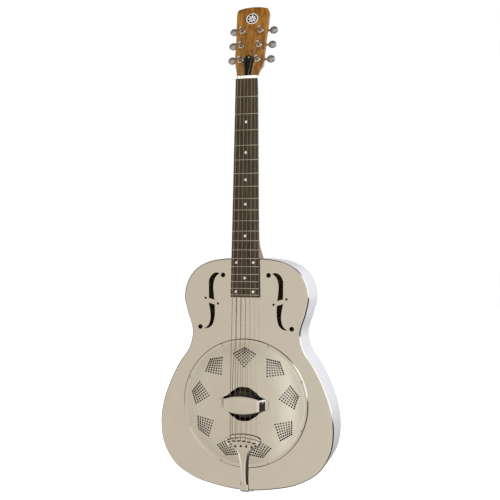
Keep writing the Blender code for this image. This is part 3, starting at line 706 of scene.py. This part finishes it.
def slotted_screw(name, profile, top, spot, place, node, width=0.7, depth=0.8):
    """Turned screw with a driver slot, at an angle that goes by its place."""
    bar = bmesh.new()
    box = Matrix.Translation((0, 0, top)) @ Matrix.Rotation(spot[0] * 0.7 + spot[1] * 1.3, 4, "Z")
    bmesh.ops.create_cube(bar, size=1, matrix=box @ Matrix.Diagonal((9, width, 2 * depth, 1)))
    part = carved(turned(profile, 28), [from_bmesh(bar)])
    place = place @ Matrix.Translation((*spot, 0))
    add_piece(name, *part, place, STEEL, node, slot="bright_steel")


def carved(part, cutters):
    """The solid less the other solids."""
    made = [linked("blank", new_mesh("blank", *solid)) for solid in (part, joined(cutters))]
    made[0].modifiers.new("cut", "BOOLEAN").object = made[1]
    result = made[0].evaluated_get(bpy.context.evaluated_depsgraph_get()).to_mesh()
    verts = [v.co.copy() for v in result.vertices]
    faces = [list(p.vertices) for p in result.polygons]
    for blank in made:
        bpy.data.objects.remove(blank, do_unlink=True)
    return verts, faces


def block(low, high):
    """Box between two corners."""
    shaped = bmesh.new()
    low, high = Vector(low), Vector(high)
    size = Matrix.Diagonal((*(high - low), 1))
    bmesh.ops.create_cube(shaped, size=1, matrix=Matrix.Translation((low + high) / 2) @ size)
    return from_bmesh(shaped)


def rod(radius, start, end, count=24):
    """Straight round bar between two points."""
    start, end = Vector(start), Vector(end)
    return tube([start, (start + end) / 2, end], radius, count)


def strip(stations, thickness, crown, across, steps, lip=1.2):
    """Bent sheet along (distance, height, half-width) stations, its long edges rolled down."""
    curve = smooth_open(stations, steps)
    rings = []
    for i, station in enumerate(curve):
        step = span(curve, i)
        along = Vector((0, step.x, step.y)).normalized()
        out = Vector((0, -along.z, along.y))
        place = Vector((0, station.x, station.y))
        half = station.z
        spots = [(-half + lip - lip * cos(a), -lip + lip * sin(a)) for a in (0, 0.4, 0.8, 1.2)]
        inner = [(half - lip) * (2 * k / across - 1) for k in range(across + 1)]
        spots += [(x, crown * (1 - (x / half) ** 2)) for x in inner]
        spots += [(-x, drop) for x, drop in reversed(spots[:4])]
        front = [place + Vector((x, 0, 0)) + out * drop for x, drop in spots]
        rings.append(front + [p - out * thickness for p in reversed(front)])
    return loft(rings)


def build_hand_rest():
    stations = [
        (-51.5, 11.9, 8.4), (-46.2, 11.9, 10.6), (-44.6, 12.1, 11), (-43.2, 13.6, 11.3),
        (-38.6, 24.2, 11.4), (-36.8, 26.4, 11.6), (-34, 27.0, 12.1), (-24, 27.4, 14.8),
        (-12, 27.7, 17), (0, 27.8, 17.7),
    ]
    stations += [(-distance, height, half) for distance, height, half in reversed(stations[:-1])]
    turn = FACE @ Matrix.Rotation(radians(-90), 4, "Z")
    plate = strip(stations, 1.1, 0.5, 8, 5, lip=0.9)
    add_piece("hand_rest_plate", *plate, turn, COVER_NICKEL, "hand_rest")


def build_cone():
    """Spun cone: flat crown, sides with fine turning rings, rim on the ledge of the well."""
    crown, foot, rings = 26.4, 111, 40
    side = table_height(((crown, 2.5), (58, -4.6), (92, -13.6), (foot, -22)))
    outer = [(2.4, 2.5), (crown, 2.5)]
    for i in range(1, rings):
        radius = crown + i * (foot - crown) / rings
        outer.append((radius, side(radius) + 0.25 * sin(i * pi / 2)))
    outer += [(foot, -22), (114.5, -21.4), (120.65, -21.4)]
    inner = [(radius, height - 0.6) for radius, height in reversed(outer)]
    add_piece("spun_cone", *turned(outer + inner, 96, closed=True), FACE, CONE_METAL, "cone")


def build_tailpiece():
    """Fan and stem in one sheet with its hooks, the felt below it and the strap over the end."""
    bow = 200
    half = [
        (0, -59.5), (12, -60.3), (24, -62.7), (31.5, -65.6), (35, -69.5), (35.4, -75), (33.2, -80.5),
        (28, -85), (21.5, -88), (16.4, -91.5), (13, -98), (10.6, -108), (9, -120), (8.2, -135),
        (8.2, -150), (8.7, -163), (9, TAIL_END),
    ]
    curve = smooth_open(half, 5)
    outline = mirrored(curve + [Vector((0, TAIL_END))])
    bed = table_height((
        (-180, 1.7), (TAIL_END, 2.8), (-164, 4.2), (-150, 5.4), (-128, 7.6), (-104, 10.4),
        (-91, 12.1), (-83, 12.9), (-79.2, 13.2), (-77.4, 13.6), (-75.6, 13.9), (-70, 14.0),
        (-68.2, 13.8), (-67.1, 13.1), (-65.8, 14.1), (-63.4, 14.7), (-60.5, 14.2), (-57, 12.6),
    ))
    waist = table_height([(p.y, p.x) for p in reversed(curve) if p.y < -65.6])

    def height(p):
        """Bed with a slight crown, its edges rolled down along the fan's foot and the stem."""
        level = bed(p.y + p.x**2 / bow) + 0.5 * (1 - (p.x / 36) ** 2) - 0.4
        if p.y < -66:
            radius = 2.8 + 4.6 * unit((-86 - p.y) / 12) - 3.6 * unit((-156 - p.y) / 14)
            over = unit((abs(p.x) - waist(max(p.y, TAIL_END))) / radius + 1) * 0.96
            level -= radius * (1 - sqrt(1 - over**2)) * unit((-66 - p.y) / 3)
        return level

    holes = []
    for index in range(6):
        x = string_x(index, TAIL_SPACING)
        level = -x**2 / bow
        hook = (1.08 * x + 0.9, level - 82.9, 2.6) if abs(x) < 20 else (0.985 * x, -81.2, 2.3)
        holes.append(circle(*hook, 20))
        right = x - 0.9
        slot = circle(right, -72.6 + level, 1.5, 16)
        holes.append([Vector((p.x - (5.2 if p.x < right else 0), p.y)) for p in slot])
    middles = [sum(hole, Vector((0, 0))) / len(hole) for hole in holes]
    stem_start = -90
    edge, near_edge = inset(outline, 1.1), inset(outline, 2.6)
    extra = []
    for depth in (1.0, 1.5, 2.1, 2.8, 3.6, 4.5, 5.5, 6.5, 7.5):
        line = inset(outline, depth)[::2]
        extra += [p for p in line if p.y < stem_start and inside(p, edge)]
    for i in range(-14, 15):
        for j in range(76):
            spot = Vector((i * 2.4, -61.5 - j * 1.45))
            if spot.y < stem_start:
                clear = i == 0
            else:
                clear = min((spot - middle).length for middle in middles) > 4.4
            if clear and inside(Vector((spot.x * 1.05, spot.y)), near_edge):
                extra.append(spot)
    made = sheet([inset(outline, 0.9), *holes], SHEET, height, extra, rim=roll(0.9, 1.2, 4))
    obj = add_sheet("tail_fan", made, FACE, TAIL_NICKEL, "tailpiece")
    darken(obj, backward(0.2))
    pad = [Vector((x, -66.5 - x**2 / bow * 0.8)) for x in range(-28, 29, 4)]
    pad += [Vector((x, -87.5 - x**2 / bow * 0.2)) for x in range(22, -23, -4)]
    add_sheet("tail_felt", sheet([pad], 1.2, lambda p: 11.6, rim=roll(0.3, 0.4, 2)), FACE, FELT)
    wrap = [
        (-60, 2.6, 8.6), (-24, 2.6, 9), (-2.5, 2.6, 9), (0.4, 2.3, 9), (2.2, 0.6, 9), (3.0, -3, 9),
        (3.9, -12, 8.8),
    ]
    strap = strip([(x, out - TAIL_Z, half) for x, out, half in wrap], 1.2, 0.4, 6, 5, lip=1.0)
    stand = Matrix(((1, 0, 0, 0), (0, 0, -1, 0), (0, 1, 0, 0), (0, 0, 0, 1)))
    add_piece("tail_strap", *strap, FACE @ stand, TAIL_NICKEL, slot="plated_tailpiece")


def build_pin():
    profile = rounded([
        (0, 15), (1.8, 15), (1.8, 0.6), (6.2, 0.4), (6.4, -3.4), (4.2, -6.4), (4.4, -9.4),
        (7.2, -11.6), (7.2, -13.2), (5.6, -14.2), (0, -14.2),
    ], 1.2)
    place = FACE @ Matrix.Translation((0, TAIL_Z, -51)) @ Matrix.Rotation(radians(-90), 4, "X")
    add_piece("end_button", *turned(profile, 40), place, STEEL, "strap_pin")


# ---- neck

def board_half_width(along):
    return 27.8 + (22.3 - 27.8) * along / NUT_Y


def neck_section(along, half_width, depth, cap, top=-0.55, power=0.9):
    """Ring of the neck: D-shaped at a power of 0.9, nearing a rectangle as it falls."""
    turns = arc(13, asin(min(cap / depth, 0.985)))
    right = [
        (half_width * cos(t) ** power, along, top - depth * sin(t) ** (power / 0.9)) for t in turns
    ]
    return [Vector(p) for p in right + [(-x, y, z) for x, y, z in reversed(right)]]


def build_neck():
    heel = (
        (0.5, 82 / 0.9, 82), (6, 84, 78), (14, 68, 65), (22, 50, 50), (30, 36, 36), (40, 26.5, 27),
        (55, 21, 22), (85, 19, 20), (200, 17.2, 18), (340, 15.6, 16), (364.8, 15.4, 16),
    )
    rings = [neck_section(y, board_half_width(y) - 0.2, depth, cap) for y, depth, cap in heel]
    rings[0] = [Vector((p.x, p.y - p.z * sin(radians(NECK_TILT)), p.z)) for p in rings[0]]
    into_head = (
        (3, 22.4, 15.6, 0, 0.9), (8, 23.1, 15.3, 0, 0.7), (13, 24.0, 14.9, 0, 0.5),
        (18, 25.2, 14.5, -0.1, 0.34), (24, 26.8, 14.1, -0.2, 0.2), (32, 28.2, 13.6, -0.4, 0.12),
    )
    for y, half_width, depth, top, power in into_head:
        ring = neck_section(y, half_width, depth, depth, top, power)
        rings.append([HEAD_IN_NECK @ p for p in ring])
    lines = [smooth_open(line, 5) for line in zip(*rings)]
    fine = [list(ring) for ring in zip(*lines)]
    channel = block((-3.2, 8, -12.9), (3.2, HEAD_PLACE[1] + 6, 1))
    pocket = block((-5.6, 1.6, -12), (5.6, 33, 2))
    shaft = carved(loft(fine), [channel])
    shaft = carved(shaft, [moved(pocket, HEAD_IN_NECK)])
    add_piece("neck_shaft", *shaft, NECK, MAHOGANY, "neck")

    outline = inset(mirrored(smooth_open(HEAD_OUTLINE, 6)), 1.4)
    posts = [circle(x, y, 5.0, 28) for (x, y), _ in post_places()]
    slab = sheet([outline, *posts], 14, flat, rim=roll(1.4, 11.2, 4))[:2]
    slant = Matrix.Translation((0, 13.5, -1.8)) @ Matrix.Rotation(radians(-39), 4, "X")
    under = moved(block((-40, -30, -40), (40, 60, 0)), slant)
    slab = carved(slab, [under])
    slab = carved(slab, [pocket, rod(1.3, (0, 41.5, -9), (0, 41.5, 2))])
    add_piece("head_plate", *slab, HEAD, MAHOGANY, "neck", sharp=30)


def build_board():
    rings = []
    for y in (BOARD_END, NUT_Y):
        half = board_half_width(y)
        right = [(half, 0.85), (half, BOARD_TOP - 0.5), (half - 0.5, BOARD_TOP)]
        section = right + [(-x, z) for x, z in reversed(right)]
        rings.append([(x, y, z) for x, z in section])
    add_piece("finger_board", *loft(rings), NECK, ROSEWOOD, "fretboard")

    places = [SCALE_LENGTH * 2 ** (-n / 12) - BODY_JOINT for n in range(FRETS + 1)]
    for number in range(1, FRETS + 1):
        half = board_half_width(places[number]) + 0.05
        rings = []
        for x, shrink in ((-half, 0.25), (-half + 0.6, 0.8), (-half + 1.3, 1), (0, 1.0)):
            rings.append([
                (x, places[number] + 1.2 * cos(a), BOARD_TOP - 0.15 + 1.25 * shrink * sin(a))
                for a in arc(8)
            ])
        rings += [[(-x, y, z) for x, y, z in ring] for ring in reversed(rings[:-1])]
        add_piece(f"fret_{number}", *loft(rings), NECK, FRET_METAL, slot="bright_steel")

    dots = [(number, 0) for number in (3, 5, 7, 9, 12, 17)]
    dots += [(number, side) for number in (15, 19) for side in (-17.5, 17.5)]
    profile = [(0, 0.12), (2.5, 0.12), (2.8, -0.1), (2.8, -0.6), (0, -0.6)]
    for index, (number, x) in enumerate(dots, 1):
        middle = (places[number] + places[number - 1]) / 2
        place = NECK @ Matrix.Translation((x, middle, BOARD_TOP))
        add_piece(f"position_dot_{index}", *turned(profile, 32), place, PEARL, slot="pearl")

    outline = [(-22.3, 0.85), (-22.3, 8.85), (-22.1, 9.4), (-21.5, 9.65)]
    for index, radius in enumerate(STRING_RADII):
        x, half = string_x(index, NUT_SPACING), radius + 0.15
        outline.append((x - half, 9.65))
        outline += [(x - half * cos(a), 8.35 + half - half * sin(a)) for a in arc(6)]
        outline.append((x + half, 9.65))
    outline += [(21.5, 9.65), (22.1, 9.4), (22.3, 8.85), (22.3, 0.85)]
    full = [Vector(p) for p in outline]
    slim = inset(full, 0.3)
    lines = ((slim, 0.3), (full, 0.6), (full, 5), (slim, NUT_DEPTH))
    rings = [[(p.x, NUT_Y + y, p.y) for p in line] for line, y in lines]
    add_piece("string_nut", *loft(rings), NECK, BONE, "nut")


# ---- head

def post_places():
    """Places of the six posts with their side, low E first: up the bass side, down the treble."""
    bass = [(-half, 36.9 + row * POST_SPACING) for row, half in enumerate((18, 18.7, 19.4))]
    return [(place, -1) for place in bass] + [((-x, y), 1) for x, y in reversed(bass)]


def string_look(number):
    """Material and slot of a string, counted from 1 at the low E."""
    wound = number <= WOUND_STRINGS
    return (WOUND_WIRE, "wound_string") if wound else (PLAIN_WIRE, "plain_string")


def build_tuners():
    post = turned(rounded([
        (0, 17), (2.2, 17), (3, 16), (2.5, 11), (2.5, 9), (3, 8.2), (3, -20.8), (0, -20.8),
    ], 0.9), 28)
    post = carved(post, [rod(0.9, (-6, 0, 10), (6, 0, 10), 12)])
    angles = full_turn(GEAR_TEETH * 10)
    radii = [GEAR_RADIUS - TOOTH_HEIGHT * cos(GEAR_TEETH * a) for a in angles]
    gear = loft([
        [((r - less) * sin(a), (r - less) * cos(a), KEY_LEVEL + z) for r, a in zip(radii, angles)]
        for z, less in ((-1.5, 0.2), (-1.3, 0), (1.3, 0), (1.5, 0.2))
    ])
    bushing = turned(rounded([
        (3.4, 2.4), (4.2, 2.4), (5.4, 2.1), (6.4, 1.3), (6.4, 0.3), (4.7, 0.3), (4.7, -8),
        (3.4, -8), (3.4, 2.3),
    ], 0.5), 36, closed=True)
    bore = rod(2.25, (-12, WORM_OFFSET, KEY_LEVEL), (12, WORM_OFFSET, KEY_LEVEL), 32)
    housing = carved(case_solid(0, -14.3), [case_solid(1.2, -10)])
    housing = carved(housing, [bore])
    key = key_solid()
    for number, ((x, y), side) in enumerate(post_places(), 1):
        place = HEAD @ Matrix.Translation((x, y, 0))
        add_piece(f"bushing_ring_{number}", *bushing, place, CHROME, f"tuner_bushing_{number}")
        add_piece(f"gear_case_{number}", *housing, place, CHROME, f"tuner_housing_{number}")
        body = f"tuner_post_{number}"
        add_piece(f"post_shaft_{number}", *joined([post, gear]), place, CHROME, body, body)
        coil = coil_solid(STRING_RADII[number - 1], side)
        wire, slot = string_look(number)
        add_piece(f"string_coil_{number}", *coil, place, wire, body=body, slot=slot)
        turn = Matrix.Rotation(0 if side > 0 else pi, 4, "Y")
        place = HEAD @ Matrix.Translation((x, y + WORM_OFFSET, KEY_LEVEL)) @ turn
        body = f"tuner_key_{number}"
        add_piece(f"key_button_{number}", *key, place, BUTTON_CHROME, body, body)


def case_solid(less, front):
    """Gear case, round below the post and square over the worm, its back edge eased."""
    half = 9.2
    outline = [Vector((-half * cos(a), -half * sin(a))) for a in arc(20)]
    top = [(cos(a), sin(a)) for a in arc(5, pi / 2)]
    outline += [Vector((half - 2 + 2 * c, 12.4 + 2 * s)) for c, s in top]
    outline += [Vector((2 - half - 2 * c, 12.4 + 2 * s)) for c, s in reversed(top)]
    rings = []
    for z, further in ((front, 0), (less - 23.4, 0), (less - 24.4, 0.45), (less - 25, 1.6)):
        rings.append([(p.x, p.y, z) for p in inset(outline, -less - further)])
    return loft(rings)


def key_solid():
    """Worm, shaft and button in one skin along X; the button is wide along Y and thin in Z."""
    angles = full_turn(28)

    def oval(x, width, height):
        return [(x, -width * cos(a), -height * sin(a)) for a in angles]

    def worm(x):
        radii = [WORM_RADIUS + TOOTH_HEIGHT * cos(2 * pi * x / WORM_PITCH - a) for a in angles]
        return [(x, -r * cos(a), -r * sin(a)) for r, a in zip(radii, angles)]

    collar = (
        (5.2, 1.9), (9.9, 1.9), (10, 3.1), (10.3, 3.4), (11.1, 3.4), (11.4, 3.1), (11.6, 2.4),
    )
    rings = [oval(x, size, size) for x, size in ((-9, 1.6), (-8.7, 1.9), (-5.2, 1.9))]
    rings += [worm((step / 10 - 1.5) * WORM_PITCH) for step in range(31)]
    rings += [oval(x, size, size) for x, size in collar]
    paddle = (
        (12.4, 2.1, 2.1), (14, 2.2, 2.1), (15.0, 3.4, 2.5), (16.2, 5.6, 3.1), (18.4, 7.4, 3.8),
        (21.4, 8.2, 4.2), (24.4, 8.2, 4.2), (27.4, 7.0, 3.7), (29.6, 5.1, 3.0), (30.9, 3.0, 2.1),
        (31.4, 1.2, 1.0),
    )
    rings += [oval(p.x, p.y, p.z) for p in smooth_open(paddle, 4)]
    return loft(rings)


def coil_solid(radius, side):
    """Three turns of string round the post, its end led up and through the hole."""
    turns, steps = 3, 24
    reach = 3.05 + radius
    points = []
    for i in range(turns * steps + 1):
        angle = pi + 2 * pi * i / steps
        level = 4.2 + i / steps * (2 * radius + 0.1)
        points.append((side * reach * cos(angle), reach * sin(angle), level))
    points += [(side * -reach * 0.9, 0, level + 1.2), (side * -2.2, 0, 10), (side * 4.4, 0, 10)]
    return tube(points, radius, 8)


def build_emblem():
    rim = turned(rounded([
        (10.4, 0.3), (10.4, 1.2), (10.9, 1.5), (12.2, 1.4), (12.6, 0.9), (12.6, 0.3), (10.5, 0.3),
    ], 0.3), 64, closed=True)
    place = HEAD @ Matrix.Translation((0, 130, 0))
    add_piece("emblem_ring", *rim, place, INLAY, "headstock_emblem")
    sections = (
        (1.5, 0.3, 0.9), (3, 1.1, 1.3), (5.4, 1.9, 1.45), (7.4, 1.6, 1.35), (8.8, 0.35, 0.9),
    )
    petal = loft([
        [(half * cos(a), y, 0.5 + (top - 0.5) * sin(a)) for a in arc(8)]
        for y, half, top in sections
    ])
    petals = [moved(petal, Matrix.Rotation(number * pi / 4, 4, "Z")) for number in range(8)]
    centre = turned([(0, 1.7), (0.9, 1.5), (1.3, 1.0), (1.3, 0.4), (0, 0.4)], 20)
    add_piece("emblem_rosette", *joined([*petals, centre]), place, INLAY, slot="pearl")
    disc = turned([(0, 0.7), (10.6, 0.7), (10.6, 0.3), (0, 0.3)], 64)
    add_piece("emblem_ground", *disc, place, BLACK, slot="black_plastic")


def build_truss():
    half = ((0, 46.4), (5, 45.2), (9.3, 40.5), (10.4, 34), (9.2, 22), (7.6, 10), (7, 2.6))
    outline = inset(mirrored(smooth_open(half, 6)), 0.7)
    spot = (0, 41.5)
    plate = sheet([outline, circle(*spot, 1.4, 20)], 1.6, lambda p: 2.1, rim=roll(0.7, 0.7, 4))
    add_sheet("truss_plate", plate, HEAD, BLACK, "truss_rod_cover")
    head = [Vector(p) for p in ((0, 3.4), (1.4, 3.2), (2.1, 2.3), (1, 2.2), (1, -5), (0, -6))]
    slotted_screw("truss_plate_screw", head, 3.6, spot, HEAD, "truss_cover_screw", 0.6, 0.7)


# ---- strings

def build_strings():
    to_head = FACE.inverted() @ HEAD
    to_neck = FACE.inverted() @ NECK
    for index, ((post_x, post_y), side) in enumerate(post_places()):
        radius = STRING_RADII[index]
        tail, over = string_x(index, TAIL_SPACING), string_x(index, NUT_SPACING)
        level = BOARD_TOP + 1.6 + radius
        reach = post_x - side * (3.15 + 3 * radius)
        points = [Vector((tail, y, 14.9 + radius)) for y in (-72, -64)]
        points += [Vector((tail, 0, 17.9 - 1.3 * (tail / 29) ** 2 + 0.3 + radius))]
        points += [to_neck @ Vector((over, NUT_Y + y, level)) for y in (0.4, 5.0)]
        points += [to_head @ Vector((reach, post_y + y, 5.0)) for y in (-1.5, 0.8)]
        fine = [points[0]]
        for a, b in zip(points, points[1:]):
            fine += [a + (b - a) * k / 4 for k in (1, 2, 3, 4)]
        number = index + 1
        wire, slot = string_look(number)
        made = tube(fine, radius)
        add_piece(f"string_wire_{number}", *made, FACE, wire, f"string_{number}", slot=slot)


# ---- carried-over nodes

# The biscuit and saddle take maple with painted shade, near black for the shade under the hand rest
# and cover
KEPT = {
    "biscuit": MAPLE_PAINTED_SHADE, "biscuit_screw": STEEL, "neck_stick": MAPLE, "stick_post": MAPLE,
    "saddle": MAPLE_PAINTED_SHADE, "sound_well": NICKEL, "truss_rod": STEEL, "truss_rod_nut": STEEL,
}


def dress_kept():
    for name, material in KEPT.items():
        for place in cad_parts[name].material_slots:
            place.material = material


# ---- surroundings

def build_floor():
    material, tree, shader = new_material("pale_floor")
    colour = ramp(tree, noise(tree, 3, detail=2), ((0.3, 0.92), (0.7, 0.95)))
    glow = {"Emission Color": colour, "Emission Strength": 1.1}
    fill(shader, glow | {"Base Color": colour, "Roughness": 0.9})
    shaped = bmesh.new()
    bmesh.ops.create_grid(shaped, x_segments=8, y_segments=8, size=6)
    verts, faces = from_bmesh(shaped)
    floor = linked("floor", new_mesh("floor", [(v.x, v.y, FLOOR) for v in verts], faces))
    floor.data.materials.append(material)
    floor.visible_glossy = False


def build_world():
    """White to the camera; to everything else a studio of soft panels round the guitar."""
    world = bpy.data.worlds.new("studio")
    bpy.context.scene.world = world
    world.use_nodes = True
    tree = world.node_tree
    where = tree.nodes.new("ShaderNodeTexCoord").outputs["Generated"]
    parts = new_node(tree, "ShaderNodeSeparateXYZ", {0: where})

    def arithmetic(operation, *values):
        node = new_node(tree, "ShaderNodeMath", dict(enumerate(values)))
        node.operation = operation
        return node.outputs[0]

    def panels(angle, limit, stops):
        """Light against an angle in radians, from stops in degrees between the two limits."""
        share = arithmetic("ADD", arithmetic("MULTIPLY", angle, 90 / pi / limit), 0.5)
        return ramp(tree, share, [((place / limit + 1) / 2, colour) for place, colour in stops])

    def mixed(kind, factor, first, second):
        node = tree.nodes.new("ShaderNodeMix")
        node.data_type, node.blend_type = "RGBA", kind
        fill(node, {"Factor": factor, "A": first, "B": second})
        return node.outputs["Result"]

    forward = arithmetic("MULTIPLY", parts.outputs["Y"], -1.0)
    round_angle = arithmetic("ARCTAN2", parts.outputs["X"], forward)
    height_angle = arithmetic("ARCSINE", parts.outputs["Z"])
    upright = panels(height_angle, 90, HEIGHT_LIGHT)
    for sector, light in SECTORS:
        there = panels(round_angle, 180, sector)
        upright = mixed("MIX", there, upright, panels(height_angle, 90, light))
    studio = mixed("MULTIPLY", 1.0, panels(round_angle, 180, ROUND_LIGHT), upright)
    path = tree.nodes.new("ShaderNodeLightPath")
    seen = mixed("MIX", path.outputs["Is Camera Ray"], studio, (1, 1, 1, 1))
    fill(tree.nodes["Background"], {"Color": seen})


# Stops of (degrees, colour or grey), round the guitar or up from the ground. Each sector has its
# own light by height where its first row is 1.
ROUND_LIGHT = (
    (-180, (0.80, 0.80, 0.85)), (-172, (0.66, 0.66, 0.70)), (-150, (0.72, 0.72, 0.76)),
    (-138, (0.9, 0.88, 0.84)), (-70, (0.9, 0.85, 0.76)), (-58, (0.56, 0.51, 0.43)),
    (-40, (0.57, 0.51, 0.42)), (-30, (0.62, 0.56, 0.455)), (-20, (0.605, 0.535, 0.425)),
    (-13, (0.63, 0.56, 0.45)), (-8, (0.66, 0.595, 0.485)), (2, (0.88, 0.81, 0.69)),
    (10, (0.68, 0.61, 0.51)), (22, (0.62, 0.555, 0.45)), (33, (0.8, 0.76, 0.68)),
    (42, (1.25, 1.22, 1.18)), (120, (1.25, 1.22, 1.2)), (138, (0.70, 0.70, 0.74)),
    (158, (0.86, 0.86, 0.91)), (172, (0.88, 0.88, 0.93)), (180, (0.80, 0.80, 0.85)),
)
HEIGHT_LIGHT = (
    (-90, 0.05), (-54, (0.10, 0.09, 0.08)), (-42, (0.80, 0.78, 0.75)), (-20, (1, 0.99, 0.98)),
    (-2, 1), (12, (0.88, 0.87, 0.85)), (36, 0.92), (50, 0.6), (60, 0.07), (90, 0.05),
)
SECTORS = (
    (
        ((-180, 0), (20, 0), (31, 1), (124, 1), (138, 0)),
        ((-90, 0.3), (-62, (0.22, 0.21, 0.20)), (-34, (0.05, 0.045, 0.04)), (-6, (0.02, 0.018, 0.015)),
         (2, 1), (34, 1), (44, 0.03), (60, 0.12), (90, 0.3)),
    ),
    (
        ((-180, 0), (-162, 0), (-150, 1), (-72, 1), (-60, 0)),
        ((-90, 0.1), (-60, 0.8), (-36, 1.3), (-26, 1), (-16, (0.64, 0.62, 0.58)),
         (-10, (0.14, 0.13, 0.12)), (90, 0.08)),
    ),
    (
        ((-180, 1), (-166, 1), (-156, 0), (136, 0), (148, 1)),
        ((-90, 0.2), (-30, 0.42), (-19, 0.56), (-11, 0.74), (-2, 1), (20, 1.1), (50, 0.6), (90, 0.3)),
    ),
)


def build_lights():
    lamps = (
        ("key", (-1.4, -2.0, 2.0), 2.2, 42), ("fill", (1.8, -1.6, 1.0), 2.0, 18),
        ("back", (0.4, 2.2, 1.8), 2.0, 24),
    )
    for name, place, size, power in lamps:
        light = bpy.data.lights.new(name, "AREA")
        light.shape = "DISK"
        light.size = size
        light.energy = power
        lamp = linked(name, light)
        lamp.location = place
        aim = Vector((0, 0, 0.3)) - Vector(place)
        lamp.rotation_euler = aim.to_track_quat("-Z", "Y").to_euler()
        lamp.visible_glossy = False


def build_camera():
    camera = bpy.data.cameras.new("camera")
    camera.sensor_width = 36
    camera.lens = 60.31
    right = Vector((0.9636255, 0.2672081, 0.0050728))
    ahead = Vector((-0.2672278, 0.9636262, 0.0037113)).normalized()
    right = (right - ahead * right.dot(ahead)).normalized()
    up = right.cross(ahead)
    turn = Matrix((right, up, -ahead)).transposed()
    eye = linked("camera", camera)
    eye.matrix_world = Matrix.Translation((0.45496, -1.69697, 0.29938)) @ turn.to_4x4()
    bpy.context.scene.camera = eye


for build in (
    build_body, build_cover, build_hand_rest, build_cone, build_tailpiece, build_pin, build_neck,
    build_board, build_tuners, build_emblem, build_truss, build_strings, dress_kept, build_floor,
    build_world, build_lights, build_camera,
):
    build()
bpy.context.scene.view_settings.view_transform = "Standard"
